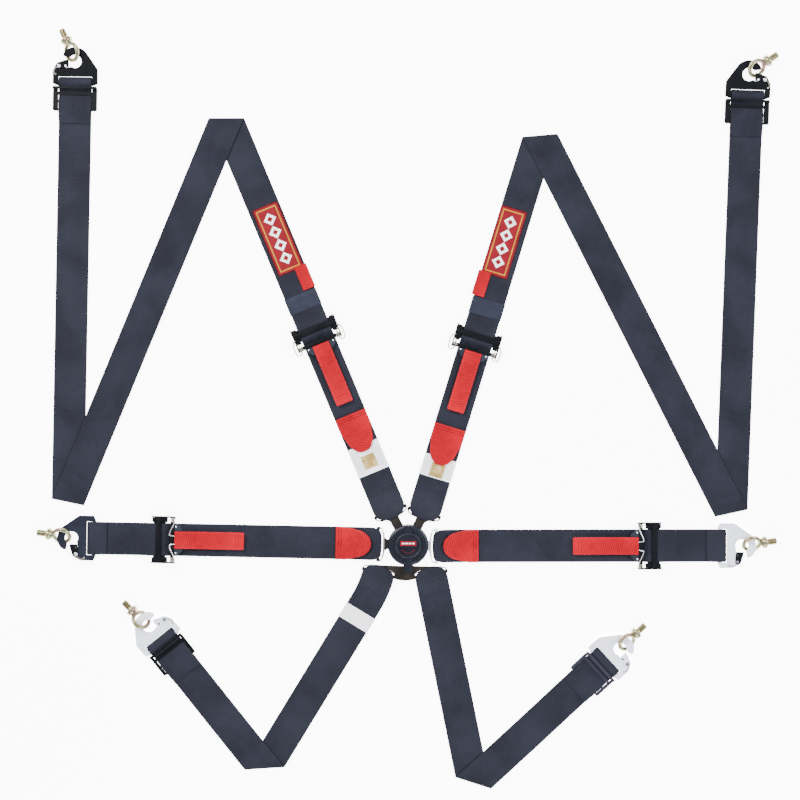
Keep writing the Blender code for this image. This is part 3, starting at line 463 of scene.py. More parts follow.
def slab(name, outline, bottom, top, look, body, slot, frame_mm, bevel=0.4):
    """Flat piece from an outline, with softened edges."""
    shape = bmesh.new()
    base = [shape.verts.new((x, y, bottom)) for x, y in outline]
    lid = [shape.verts.new((x, y, top)) for x, y in outline]
    shape.faces.new(base[::-1])
    shape.faces.new(lid)
    for i in range(len(outline)):
        j = (i + 1) % len(outline)
        shape.faces.new((base[i], base[j], lid[j], lid[i]))
    bmesh.ops.recalc_face_normals(shape, faces=shape.faces)
    if bevel:
        rim = [edge for edge in shape.edges if edge.calc_face_angle(0.0) > math.radians(40)]
        bmesh.ops.bevel(shape, geom=rim, offset=bevel, segments=2, profile=0.6, affect="EDGES")
    mesh = bpy.data.meshes.new(name)
    shape.to_mesh(mesh)
    shape.free()
    mesh.transform(frame_mm)
    mesh.transform(Matrix.Scale(TO_M, 4))
    return finish_mesh(name, mesh, look, body, slot, True, 30.0)


def soften(node, width, look, segments=2):
    """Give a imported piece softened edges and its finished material."""
    item = frame["nodes"][node]
    crease = math.radians(38)
    rounded = item.modifiers.new("softened_edges", "BEVEL")
    rounded.width = width * TO_M
    rounded.segments = segments
    rounded.limit_method = "ANGLE"
    rounded.angle_limit = crease
    rounded.harden_normals = False
    item.data.shade_smooth()
    item.data.set_sharp_from_angle(angle=crease)
    item.data.materials.clear()
    item.data.materials.append(LOOKS[look])


# ---------------------------------------------------------------- webbing

class StrapRoute:
    """Maps a straight strip onto the floor: an optional bend in plan, then flat folds."""

    def __init__(self, start, first_heading, folds=(), end=None, bend_from=None, bend_length=0.0):
        self.start = Vector(start)
        self.bend_length = bend_length
        self.bend_from = first_heading if bend_from is None else bend_from
        self.first_heading = first_heading
        stops = [Vector(point) for point, _ in folds] + [Vector(end)]
        directions = [Vector((math.cos(first_heading), math.sin(first_heading)))]
        for before, after in zip(stops, stops[1:]):
            directions.append((after - before).normalized())
        self.folds = []
        for (point, up), incoming, outgoing in zip(folds, directions, directions[1:]):
            self.folds.append((Vector(point), (incoming - outgoing).normalized(), up))
        self.meet(stops[-1])

    def meet(self, target):
        """Set the strip's length so that its centreline ends level with the target."""
        origin, direction = self.after_bend()
        self.crossings = []
        left = Vector((-direction.y, direction.x))
        for pivot, normal, _ in self.folds:
            self.crossings.append((origin, direction, left, pivot, normal))
            origin = origin - 2 * (origin - pivot).dot(normal) * normal + math.pi * FOLD_RADIUS * normal
            direction = direction - 2 * direction.dot(normal) * normal
            left = left - 2 * left.dot(normal) * normal
        reach = (target - origin).dot(direction)
        self.length = reach + self.bend_length
        self.end_point = origin + reach * direction
        self.last_direction = direction

    def after_bend(self):
        direction = Vector((math.cos(self.first_heading), math.sin(self.first_heading)))
        if self.bend_length == 0.0:
            return self.start, direction
        return self.bend_point(self.bend_length)[0], direction

    def bend_point(self, x):
        turn = self.first_heading - self.bend_from
        angle = self.bend_from + turn * x / self.bend_length
        radius = self.bend_length / turn
        centre = self.start + radius * Vector((-math.sin(self.bend_from), math.cos(self.bend_from)))
        return centre + radius * Vector((math.sin(angle), -math.cos(angle))), angle

    def straight(self, x, y):
        if x < self.bend_length:
            if x < 0:
                angle = self.bend_from
                point = self.start + x * Vector((math.cos(angle), math.sin(angle)))
            else:
                point, angle = self.bend_point(x)
            return point + y * Vector((-math.sin(angle), math.cos(angle)))
        origin, direction = self.after_bend()
        left = Vector((-direction.y, direction.x))
        return origin + (x - self.bend_length) * direction + y * left

    def place(self, x, y, height=0.0):
        """World position of a point at length x, side y and height over the strip's own plane."""
        point = self.straight(x, y)
        level = 0.0
        for pivot, normal, up in self.folds:
            past = (point - pivot).dot(normal)
            if past <= 0:
                break
            foot = point - past * normal
            turned = past / FOLD_RADIUS
            if turned < math.pi:
                point = foot + normal * FOLD_RADIUS * math.sin(turned)
                level += up * FOLD_RADIUS * (1 - math.cos(turned))
                break
            point = foot - normal * (past - math.pi * FOLD_RADIUS)
            level += up * 2 * FOLD_RADIUS
        return Vector((point.x, point.y, level + height + WEB_THICK / 2))

    def fold_spans(self):
        """For each fold: where its wrap starts and ends on the centreline, and its slant per width."""
        spans = []
        wrap = math.pi * FOLD_RADIUS
        for origin, direction, left, pivot, normal in self.crossings:
            lean = direction.dot(normal)
            start = -(origin - pivot).dot(normal) / lean + self.bend_length
            spans.append((start, start + wrap / lean, -left.dot(normal) / lean))
        return spans


def eased(value):
    value = min(max(value, 0.0), 1.0)
    return value * value * (3 - 2 * value)


def slant_at(route, x):
    """How much a line across the strip leans along it, per millimetre of width."""
    for start, end, slope in route.fold_spans():
        away = max(start - x, x - end, 0.0)
        if away < SLANT_REACH:
            return slope * (1 - eased(away / SLANT_REACH))
    return 0.0


def loop_profile(x, height, radius, side, steps=14):
    """Half circle round a bar, from its lower to its upper side; side +1 bulges towards +X."""
    points = []
    for i in range(steps + 1):
        angle = math.pi * i / steps
        points.append((x + side * radius * math.sin(angle), height - radius * math.cos(angle)))
    return points


def fine_profile(profile, route):
    """Profile points close enough to bend smoothly, with its corners eased and the folds' steps in."""
    fine = [profile[0]]
    for (x0, h0), (x1, h1) in zip(profile, profile[1:]):
        count = max(1, int(math.hypot(x1 - x0, h1 - h0) / RUN_STEP))
        for i in range(1, count + 1):
            fine.append((x0 + (x1 - x0) * i / count, h0 + (h1 - h0) * i / count))
    runs = np.array(fine)
    steps = np.hypot(*np.diff(runs, axis=0).T)
    loose = np.zeros(len(runs), bool)
    loose[1:-1] = (steps[:-1] > 1.5) & (steps[1:] > 1.5)
    for _ in range(4):
        eased_runs = runs.copy()
        eased_runs[1:-1] = 0.25 * runs[:-2] + 0.5 * runs[1:-1] + 0.25 * runs[2:]
        runs[loose] = eased_runs[loose]
    rows = [(float(x), float(height)) for x, height in runs]
    for start, end, _ in route.fold_spans():
        for i in range(13):
            x = start + (end - start) * i / 12
            for k, (before, after) in enumerate(zip(rows, rows[1:])):
                if before[0] < x <= after[0] and after[0] - before[0] < 60:
                    share = (x - before[0]) / (after[0] - before[0])
                    rows.insert(k + 1, (x, before[1] + share * (after[1] - before[1])))
                    break
    return rows


# Points across a strip, as shares of its half width, and its thickness there: the selvedges are thinner
ACROSS = (-1.0, -0.96, -0.88, -0.6, -0.3, 0.0, 0.3, 0.6, 0.88, 0.96, 1.0)
ACROSS_THICK = (0.32, 0.86, 1.0, 1.0, 1.0, 1.0, 1.0, 1.0, 1.0, 0.86, 0.32)


def ribbon(name, route, rows, looks, body, slot, thick=WEB_THICK, crown=None):
    """Closed woven strip: rows are (x, height, half width, bulge); crown(share, side) adds height.

    A row's bulge pushes its middle along the strip, so that a loop's end is rounded in plan.
    """
    count = len(rows)
    middle = np.zeros((count, len(ACROSS), 3))
    texture = np.zeros((count, len(ACROSS), 2))
    travelled = 0.0
    for i, (x, height, half, bulge) in enumerate(rows):
        lean = slant_at(route, x)
        if i:
            before = rows[i - 1]
            travelled += math.hypot(x - before[0], height - before[1])
        for j, side in enumerate(ACROSS):
            y = side * half
            extra = crown(i / (count - 1), side) if crown else 0.0
            pushed = x + bulge * (1.0 - abs(side) ** 2.4)
            middle[i, j] = route.place(pushed + lean * y, y, height + extra)
            texture[i, j] = ((travelled + lean * y) * TO_M, y * TO_M)
    along = np.gradient(middle, axis=0)
    across = np.gradient(middle, axis=1)
    normal = np.cross(along, across)
    normal /= np.maximum(np.linalg.norm(normal, axis=2, keepdims=True), 1e-9)
    offset = normal * (thick / 2) * np.array(ACROSS_THICK)[None, :, None]
    top, bottom = middle + offset, middle - offset
    points = np.concatenate([top, bottom[:, ::-1]], axis=1)
    weave = np.concatenate([texture, texture[:, ::-1]], axis=1)
    ring = points.shape[1]
    faces, marks = [], []
    flat_points = points.reshape(-1, 3)
    for i in range(count - 1):
        for k in range(ring):
            m = (k + 1) % ring
            faces.append((i * ring + k, (i + 1) * ring + k, (i + 1) * ring + m, i * ring + m))
            marks.append(0 if k < len(ACROSS) else 1)
    faces.append(tuple(range(ring)))
    faces.append(tuple((count - 1) * ring + k for k in range(ring))[::-1])
    marks += [0, 0]
    mesh = bpy.data.meshes.new(name)
    mesh.from_pydata([tuple(point * TO_M) for point in flat_points], [], faces)
    mesh.polygons.foreach_set("material_index", [min(mark, len(looks) - 1) for mark in marks])
    layer = mesh.uv_layers.new(name="strip")
    flat_weave = weave.reshape(-1, 2)
    corners = np.zeros(len(mesh.loops), np.int32)
    mesh.loops.foreach_get("vertex_index", corners)
    layer.data.foreach_set("uv", flat_weave[corners].ravel())
    return finish_mesh(name, mesh, looks, body, slot, True, 60.0)


def strap_rows(profile, route, gather=None):
    """Rows of a strap; gather is (waist, reach, lean) of its loop round a tongue's bar at x = 0."""
    rows = []
    for x, height in fine_profile(profile, route):
        scale, bulge = 1.0, 0.0
        if gather is not None:
            waist, reach, lean = gather
            away = max(0.0, (x + BAR_LOOP) / reach)
            if away < 1.0:
                scale = waist + (1.0 - waist) * math.sqrt(1.0 - (1.0 - away) ** 2)
            over = eased((height - TONGUE_Z + WEB_THICK / 2 + 1.2) / 3.2)
            bulge = -lean * over * (1.0 - eased(away * 0.9))
        rows.append((x, height, WEB_WIDTH / 2 * scale, bulge))
    return rows


def tongue_loop(return_end):
    """Profile of a strap from its sewn return, round the tongue's bar and down to the floor."""
    bar = TONGUE_Z - WEB_THICK / 2
    profile = [(return_end, 0.0), (46.0, 0.0), (24.0, 1.6)]
    profile += loop_profile(0.0, bar, BAR_LOOP, -1)
    profile += [(24.0, 4.6), (46.0, WEB_LAYER), (return_end + 4.0, WEB_LAYER), (return_end + 12.0, 0.0)]
    return profile


def roller_wrap(roller_x):
    """Profile round the adjuster's roller to the top of the run, and where the free tail begins."""
    height = ROLLER_Z - WEB_THICK / 2
    points = []
    steps, wrap = 18, math.radians(225)
    for i in range(steps + 1):
        angle = wrap * i / steps
        points.append((roller_x + ROLLER_LOOP * math.sin(angle), height - ROLLER_LOOP * math.cos(angle)))
    x, top = points[-1]
    return points, (x - (top - WEB_LAYER), WEB_LAYER)


def long_loop(bar_x):
    """Loop round a clip's bar, bowed out until it nearly fills the clip's slot."""
    return [(x + SLOT_FILL * max(0.0, x - bar_x) / BAR_LOOP, height)
            for x, height in loop_profile(bar_x, BAR_LOOP, BAR_LOOP, 1, 18)]


def clip_loop(bar_x, return_length):
    profile = long_loop(bar_x)
    profile += [(bar_x - 22.0, WEB_LAYER), (bar_x - return_length, WEB_LAYER)]
    return profile


def slide_loop(bar_x):
    """Profile round a clip's bar, under the slide's first bar and over the other two."""
    profile = long_loop(bar_x)
    over = SLIDE_TOP + GAP
    profile += [(bar_x - 12.0, WEB_LAYER), (bar_x - 19.0, WEB_LAYER), (bar_x - 25.2, over),
                (bar_x - 45.0, over), (bar_x - 56.0, WEB_LAYER), (bar_x - 62.0, WEB_LAYER)]
    return profile


def adjuster_loop(return_length):
    profile = [(return_length, WEB_LAYER), (20.0, WEB_LAYER)]
    profile += loop_profile(0.0, BAR_LOOP, BAR_LOOP, -1)[::-1]
    return profile


# ---------------------------------------------------------------- sewing, labels and patches

def stitch_mesh(name, seams, look, body, slot, length=2.4, width=0.75, rise=0.42):
    """Separate stitches: seams are lists of (start, end, up) in millimetres."""
    points, faces = [], []
    for start, end, up in seams:
        run = end - start
        count = max(1, int(run.length / (length * 1.35)))
        ahead = run.normalized()
        side = ahead.cross(up).normalized()
        for i in range(count):
            centre = start + run * (i + 0.5) / count
            base = len(points)
            for share, size in ((-0.5, 0.35), (-0.28, 0.95), (0.28, 0.95), (0.5, 0.35)):
                spot = centre + ahead * length * share
                for k in range(6):
                    angle = math.pi * 2 * k / 6
                    points.append(spot + side * width / 2 * size * math.cos(angle)
                                  + up * (rise * size * math.sin(angle)))
            for ring in range(3):
                for k in range(6):
                    m = (k + 1) % 6
                    low = base + ring * 6
                    faces.append((low + k, low + 6 + k, low + 6 + m, low + m))
            faces.append(tuple(base + k for k in range(6)))
            faces.append(tuple(base + 18 + k for k in range(6))[::-1])
    return add_piece(name, points, faces, look, body, slot)


UP = Vector((0.0, 0.0, 1.0))


def seam(route, start, end, level, rise=0.0):
    """One straight seam on a strip between two (x, y) points, rise above level(x)."""
    return route.place(*start, level(start[0]) + rise), route.place(*end, level(end[0]) + rise), UP


def cross_seam(route, x, half, height):
    """A seam straight across a strip, at a height over its plane."""
    return route.place(x, -half, height), route.place(x, half, height), UP


def patch(name, route, area, heights, thick, look, body, slot):
    """Thin cloth piece over a strip: area is (x0, x1, y0, y1); heights(x) is its underside."""
    x0, x1, y0, y1 = area
    rows, columns = max(2, int((x1 - x0) / 4)), max(2, int((y1 - y0) / 5))
    points, faces = [], []
    for level in (0.0, thick):
        for i in range(rows + 1):
            for j in range(columns + 1):
                x = x0 + (x1 - x0) * i / rows
                y = y0 + (y1 - y0) * j / columns
                points.append(route.place(x, y, heights(x) + level))
    layer = (rows + 1) * (columns + 1)

    def spot(i, j, level):
        return level * layer + i * (columns + 1) + j

    for i in range(rows):
        for j in range(columns):
            faces.append((spot(i, j, 0), spot(i, j + 1, 0), spot(i + 1, j + 1, 0), spot(i + 1, j, 0)))
            faces.append((spot(i, j, 1), spot(i + 1, j, 1), spot(i + 1, j + 1, 1), spot(i, j + 1, 1)))
    rim = [(i, 0) for i in range(rows)] + [(rows, j) for j in range(columns)]
    rim += [(i, columns) for i in range(rows, 0, -1)] + [(0, j) for j in range(columns, 0, -1)]
    for a, b in zip(rim, rim[1:] + rim[:1]):
        faces.append((spot(*a, 0), spot(*b, 0), spot(*b, 1), spot(*a, 1)))
    item = add_piece(name, points, faces, look, body, slot, None, True, 30.0)
    item.data.validate()


# ---------------------------------------------------------------- studio

CENTRE = Vector((-12.8, 225.5, 0.0)) * TO_M
CAMERA_HEIGHT = 3.0
FLOOR_GLOW = 9.0
LENS = 86.4
FLOOR_LEVEL = -0.0006
FLOOR_REACH = 6.0
# Place, size, power in watts and colour
LAMPS = {
    "key_light": ((-1.4, 1.6, 2.4), 1.6, 155.0, (1.0, 0.98, 0.95)),
    "fill_light": ((1.9, 0.7, 2.2), 1.8, 78.0, (0.93, 0.96, 1.0)),
    "low_light": ((0.2, -1.9, 1.7), 1.2, 54.0, (1.0, 1.0, 1.0)),
}
LAMP_TARGET = Vector((0.0, 0.2, 0.0))


def studio():
    floor_look = Look("paper_floor")
    place = floor_look.node("ShaderNodeTexCoord").outputs["Object"]
    grain = floor_look.noise(place, 300.0, 3.0)
    wash = floor_look.noise(place, 1.2, 2.0)
    paper = floor_look.mix(floor_look.ramp(wash, 0.3, 0.7), rgb(0.93, 0.93, 0.94), rgb(0.96, 0.96, 0.96))
    floor_look.set(Base_Color=paper, Roughness=0.85, Emission_Color=paper, Emission_Strength=FLOOR_GLOW)
    floor_look.bump(grain, 0.0002, 0.2)
    mesh = bpy.data.meshes.new("floor")
    corners = ((-1, -1), (1, -1), (1, 1), (-1, 1))
    mesh.from_pydata([(x * FLOOR_REACH, y * FLOOR_REACH, FLOOR_LEVEL) for x, y in corners], [], [(0, 1, 2, 3)])
    mesh.materials.append(floor_look.skin)
    floor = bpy.data.objects.new("floor", mesh)
    bpy.context.scene.collection.objects.link(floor)
    world = bpy.data.worlds.new("soft_room")
    world.use_nodes = True
    back = world.node_tree.nodes["Background"]
    back.inputs["Color"].default_value = (0.95, 0.97, 1.0, 1.0)
    back.inputs["Strength"].default_value = 1.15
    bpy.context.scene.world = world
    for name, settings in LAMPS.items():
        lamp(name, *settings)
    lens = bpy.data.cameras.new("photo_camera")
    lens.lens = LENS
    lens.sensor_width = 36.0
    lens.clip_end = 50.0
    camera = bpy.data.objects.new("photo_camera", lens)
    camera.location = (CENTRE.x, CENTRE.y, CAMERA_HEIGHT)
    bpy.context.scene.collection.objects.link(camera)
    bpy.context.scene.camera = camera


def lamp(name, where, size, power, colour):
    light = bpy.data.lights.new(name, "AREA")
    light.shape = "DISK"
    light.size = size
    light.energy = power
    light.color = colour
    item = bpy.data.objects.new(name, light)
    item.location = where
    toward = LAMP_TARGET - Vector(where)
    item.rotation_euler = toward.to_track_quat("-Z", "Y").to_euler()
    bpy.context.scene.collection.objects.link(item)


# ---------------------------------------------------------------- buckle

def buckle():
    soften("buckle_base", 0.3, "black_steel")
    soften("buckle_cover", 0.6, "cover", 3)
    soften("release_handle", 0.8, "cover", 3)
    soften("cam_plate", 0.2, "bright")
    soften("latch_spider", 0.2, "bright")
    soften("return_spring", 0.1, "chrome")
    soften("pivot_bolt", 0.3, "bright")
    cover_screws()
    handle_details()
    tongue_details()


def cover_screws():
    for index, (x, y) in enumerate(((-26.9, 10.5), (22.7, 9.4), (-18.1, -20.9), (15.8, -23.4))):
        # The screw heads sit near the cover's rim, clear of the wings
        radius = math.hypot(x, y)
        spot = shift(x * SCREW_CIRCLE / radius, y * SCREW_CIRCLE / radius, COVER_TOP)
        profile = [(0.0, 0.25), (1.9, 0.22), (2.5, 0.0), (2.6, -0.5), (0.0, -0.5)]
        lathe(f"cover_screw_{index}", profile, "black_steel", "buckle", "black_steel", spot, 24)
        # A near-black hexagon in the screw head: painted shade of its socket
        socket = [(0.0, 0.3), (0.9, 0.3), (1.05, 0.26), (1.05, 0.2), (0.0, 0.2)]
        lathe(f"cover_screw_socket_{index}", socket, "hole", "buckle", "black_steel", spot, 6)


def handle_details():
    """Badge with a plain red bar, ribs and finger edges on the wings."""
    place = Matrix.Identity(4)
    badge = [(0.0, HANDLE_TOP - 0.45), (14.2, HANDLE_TOP - 0.45), (14.7, HANDLE_TOP - 0.6),
             (14.8, HANDLE_TOP - 1.05), (0.0, HANDLE_TOP - 1.05)]
    lathe("badge_disc", badge, "badge", "handle", "cover_black", place, 64)
    groove = [(17.0, HANDLE_TOP + 0.02), (17.5, HANDLE_TOP + 0.3), (18.2, HANDLE_TOP + 0.3),
              (18.7, HANDLE_TOP + 0.02), (18.7, HANDLE_TOP - 0.3), (17.0, HANDLE_TOP - 0.3),
              (17.0, HANDLE_TOP + 0.02)]
    lathe("knob_bead", groove, "cover", "handle", "cover_black", place, 64)
    bar = [(-12.6, -0.6), (-12.6, 7.0), (12.6, 7.0), (12.6, -0.6)]
    slab("badge_bar", bar, HANDLE_TOP - 0.5, HANDLE_TOP - 0.32, "patch_red", "handle", "cover_black",
         place, 0.05)
    for index, x in enumerate((-7.8, -2.6, 2.6, 7.8)):
        dash = [(x - 1.9, 2.3), (x - 1.9, 4.3), (x + 1.9, 4.3), (x + 1.9, 2.3)]
        slab(f"badge_dash_{index}", dash, HANDLE_TOP - 0.34, HANDLE_TOP - 0.24, "patch_white", "handle",
             "cover_black", place, 0.0)
    for index in range(11):
        angle = math.radians(216 + index * 10.8)
        spot = shift(11.4 * math.cos(angle), 11.4 * math.sin(angle), HANDLE_TOP)
        dot = [(0.0, -0.3), (0.55, -0.32), (0.6, -0.5), (0.0, -0.5)]
        lathe(f"badge_dot_{index}", dot, "patch_red", "handle", "cover_black", spot, 16)
    wing_top = HANDLE_TOP - 1.5
    for x in (-3.4, 3.4):
        for name, y0, y1 in (("short", 19.5, 28.5), ("long", -19.5, -39.5)):
            path = [(x, y0, wing_top), (x, (y0 + y1) / 2, wing_top), (x, y1, wing_top)]
            tag = "l" if x < 0 else "r"
            wire(f"wing_rib_{name}_{tag}", path, 0.85, "cover", "handle", "cover_black", place, 2)
    for tag, spots in (("grip", (-23.0, -27.0, -31.0, -35.0)), ("step", (22.0, 25.5))):
        for index, y in enumerate(spots):
            path = [(-2.3, y, wing_top), (0, y, wing_top + 0.1), (2.3, y, wing_top)]
            wire(f"wing_{tag}_{index}", path, 0.5, "cover", "handle", "cover_black", place, 2)


def tongue_details():
    """Finish of the tongues, and the bright liners of the slots that the lap and leg straps pass."""
    for name in ("shoulder_l", "shoulder_r", "lap_l", "leg"):
        soften(name + "_tongue", 0.45, "bronze", 3)
    # The right lap tongue takes the plate whose top is painted near white as a reflection of the white
    # surroundings
    soften("lap_r_tongue", 0.45, "bright", 3)
    bodies = {"lap_l": "buckle", "lap_r": "lap_r_tongue", "leg_l": "leg_tongue", "leg_r": "leg_tongue"}
    path = [(-5.6, -24.2, 0.0), (-8.2, -17.5, 0.0), (-9.2, -9.0, 0.0), (-9.4, 0.0, 0.0),
            (-9.2, 9.0, 0.0), (-8.2, 17.5, 0.0), (-5.6, 24.2, 0.0)]
    for name, body in bodies.items():
        turn = lap_heading(name) if name in LAPS else -90.0 - LEGS[name]["bar_turn"]
        place = shift(*{**LAPS, **LEGS}[name]["bar"], TONGUE_Z + 1.35) @ turn_z(math.radians(turn))
        wire(name + "_slot_liner", path, 0.75, "chrome", body, "bright_steel", place, 6)


def lap_heading(name):
    bar, clip = LAPS[name]["bar"], LAPS[name]["clip"]
    return math.degrees(math.atan2(clip[1] - bar[1], clip[0] - bar[0]))


# ---------------------------------------------------------------- straps

def pull_piece(name, spec, route):
    """Red folded end of the tail: webbing gathered to a rounded tip with a centre crease."""
    on_slope = name in LAPS
    outer = spec["pull"] + PULL_LENGTH
    inner = spec["pull"] - (0.0 if on_slope else 7.0)
    levels = (WEB_LAYER, 2.6, 9.6) if on_slope else (0.0, 0.0, 0.0)
    top = TAB_THICK / 2 + WEB_LAYER + WEB_THICK + GAP - WEB_THICK / 2 + 0.7
    rows = []
    steps = 36
    for i in range(steps + 1):
        share = i / steps
        x = outer + (inner - outer) * share
        if share <= 0.5:
            height = levels[0] + (levels[1] - levels[0]) * share * 2
        else:
            height = levels[1] + (levels[2] - levels[1]) * (share * 2 - 1)
        tip = max(0.0, (share - 0.66) / 0.34)
        half = WEB_WIDTH / 2 * (1.0 - 0.2 * eased((share - 0.25) / 0.55)) * math.sqrt(1.0 - 0.82 * tip * tip)
        rows.append((x, height + top, half, -3.0 * eased((share - 0.8) / 0.2)))

    def crown(share, side):
        gather = 0.62 * eased((share - 0.3) / 0.5)
        ripple = gather * math.sin(side * 10.0 + 2.5 * share)
        crease = -1.1 * math.exp(-((side / 0.13) ** 2)) * eased(1.3 - 1.5 * share)
        roll = 0.9 * eased((share - 0.5) / 0.4) * (1.0 - side * side) - 0.35
        return ripple + crease + roll + 0.35 * (1 - side * side)

    item = ribbon(name + "_red_pull", route, rows, ("red_wide",), name + "_pull", "red_webbing",
                  TAB_THICK, crown)
    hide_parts(name + "_pull")
    level = levels[0] + top + TAB_THICK / 2
    seams = [cross_seam(route, outer - inset, 23.0, level + 0.1) for inset in (4.0, 8.0)]
    stitch_mesh(name + "_pull_stitch", seams, "red_thread", name + "_pull", "red_webbing")


def tab_piece(name, spec, frame_mm):
    """Red tab sewn through the lever's slot: doubled at the lever, with two columns of stitches."""
    length = spec["tab"]
    route = StrapRoute((0, 0), math.pi, end=(-length, 0))
    base = LEVER_TOP + GAP + TAB_THICK / 2 - WEB_THICK / 2 + 0.1
    low = 8.0
    profile = [(3.0, base), (17.0, base), (29.0, low), (length / 2, low), (length - 4.0, low + 1.0),
               (length, low + 1.2)]
    rows = []
    for x, height in fine_profile(profile, route):
        near_end = max(0.0, 1.0 - (length - x) / 3.0)
        rows.append((x, height, TAB_WIDTH / 2 - 0.8 * near_end ** 2, 0.0))
    item = ribbon(name + "_red_tab", route, rows, ("red",), None, "red_webbing", TAB_THICK,
                  lambda share, side: 0.18 * (1 - side * side) + 0.1 * math.sin(share * 23.0))
    place = frame_mm @ shift(LEVER_PIVOT_X, 0, 0)
    item.data.transform(in_metres(place))
    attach(item, name + "_lever")
    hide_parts(name + "_tab")
    up = TAB_THICK / 2 + 0.05
    seams = [cross_seam(route, 8.0, 11.0, base + up)]
    seams += [cross_seam(route, x, 10.0, low + up + 0.1) for x in (30.0, 34.5)]
    seams += [cross_seam(route, x, 10.0, low + up + 0.95) for x in (length - 13.0, length - 8.5)]
    turned = [(place @ a, place @ b, up_way) for a, b, up_way in seams]
    stitch_mesh(name + "_tab_stitch", turned, "red_thread", name + "_lever", "red_webbing")


def in_metres(matrix):
    placed = matrix.copy()
    placed.translation = matrix.translation * TO_M
    return placed


def adjuster_details(name, frame_mm, is_lap):
    """Roller ends, lever pins, bails, centre web, top bar and ears of an adjuster, and its lever's hood."""
    body = name + "_adjuster"
    soften(body, 0.35, "black_steel")
    soften(name + "_lever", 0.35, "lever")
    bars = (("roller", 0.0, ROLLER_Z, 2.3), ("rear", REAR_BAR_X, WEB_THICK / 2 + BAR_LOOP, 1.9))
    dome = [(0.0, 1.0), (1.2, 0.85), (1.9, 0.2), (1.9, -0.2), (0.0, -0.2)]
    for side, end in SIDES:
        for tag, x, z, radius in bars:
            cap = frame_mm @ shift(x, side * (SIDE_OUTER - 0.05), z) @ turn_out(side)
            profile = [(0.0, 0.7), (radius * 0.7, 0.6), (radius, 0.1), (radius, -0.2), (0.0, -0.2)]
            lathe(f"{name}_{tag}_end_{end}", profile, "chrome" if is_lap else "bronze", body, "black_steel",
                  cap, 20)
        pin = frame_mm @ shift(LEVER_PIVOT_X, side * (SIDE_OUTER - 0.3), LEVER_PIVOT_Z) @ turn_out(side)
        lathe(f"{name}_lever_pin_{end}", dome, "chrome", body, "black_steel", pin, 20)
        bail_wires(name, side, end, frame_mm, is_lap)
    web = [(6.1, -34.4), (7.6, -34.4), (7.6, 34.4), (6.1, 34.4)]
    slab(name + "_centre_web", web, 1.9, 9.6, "black_steel", body, "black_steel", frame_mm, 0.3)
    # Top bar over the frame beside the roller: on a shoulder adjuster the frame's cross bar, on a lap adjuster
    # a dark bar of painted shade where only shade lies
    top_bar_and_shade = [(2.6, -34.6), (10.5, -34.6), (10.5, 34.6), (2.6, 34.6)]
    slab(name + "_bridge", top_bar_and_shade, 10.8, 12.4, "black_steel", body, "black_steel", frame_mm, 0.6)
    ear = [(-7.0, 27.4), (-4.0, 26.6), (14.0, 26.6), (17.5, 28.4), (17.5, 34.3), (-7.0, 34.3)]
    for side, end in SIDES:
        slab(f"{name}_ear_{end}", mirrored(ear, side), 7.0, 10.4, "black_steel", body, "black_steel",
             frame_mm, 0.9)
    hood = [(3.6, -28.0), (3.6, 28.0), (-0.8, 28.0), (-2.4, 24.0), (-2.4, -24.0), (-0.8, -28.0)]
    slab(name + "_lever_hood", hood, 10.0, 12.3, "black_steel", name + "_lever", "black_steel",
         frame_mm @ shift(LEVER_PIVOT_X, 0, 0), 0.8)
    rivet = [(0.0, 0.5), (0.9, 0.4), (1.4, 0.0), (1.4, -0.2), (0.0, -0.2)]
    for index, y in enumerate((-20.5, 20.5)):
        spot = frame_mm @ shift(LEVER_PIVOT_X - 4.6, y, LEVER_TOP)
        lathe(f"{name}_lever_rivet_{index}", rivet, "chrome", name + "_lever", "black_steel", spot, 16)


def bail_wires(name, side, end, frame_mm, is_lap):
    """Bail wire and coil spring on one side; a lap's bails move with its lever, a shoulder's with the frame."""
    if is_lap:
        path = [(-18.5, 33.0, 11.6), (-18.0, 29.5, 12.6), (-16.0, 23.0, 13.2), (-12.0, 15.0, 13.6),
                (-10.5, 9.5, 13.8), (-11.6, 7.2, 14.0), (-18.0, 6.2, 14.2)]
    else:
        path = [(1.0, 34.4, 12.6), (-1.5, 38.6, 12.2), (-6.0, 40.6, 11.6), (-15.0, 40.8, 11.0),
                (-20.5, 40.2, 10.6), (-23.0, 37.6, 10.4), (-22.6, 33.6, 10.6), (-20.4, 31.8, 10.8),
                (-13.0, 31.4, 12.8), (-6.0, 31.6, 13.2)]
    path = [(x, y * side, z) for x, y, z in path]
    body = name + ("_lever" if is_lap else "_adjuster")
    wire(f"{name}_bail_{end}", path, 0.9, "chrome" if is_lap else "wire", body, "spring_steel", frame_mm, 5)
    radius, per_turn, pitch = 3.6, 12, 1.875
    coil = []
    for i in range(43):
        angle = 2 * math.pi * i / per_turn
        coil.append((LEVER_PIVOT_X + radius * math.cos(angle), side * (28.0 + pitch * i / per_turn),
                     LEVER_PIVOT_Z + radius * math.sin(angle)))
    made, faces = tube_points(coil, 0.55, 8)
    add_piece(f"{name}_lever_spring_{end}", made, faces, "wire", body, "spring_steel", frame_mm)


# ---------------------------------------------------------------- clips and eye bolts

def clip_frame(name):
    """Frame of a clip on its bar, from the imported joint."""
    swing = JOINTS[name + "_clip_swing"]
    origin = Vector(swing["pos_m"]) / TO_M
    across = -Vector(swing["axis"]).normalized()
    gate = JOINTS[name + "_gate_open"]
    up = Vector(gate["axis"]).normalized()
    if up.z < 0:
        up = -up
    ahead = across.cross(up).normalized()
    up = ahead.cross(across).normalized()
    return axes_at(origin, ahead, across, up)


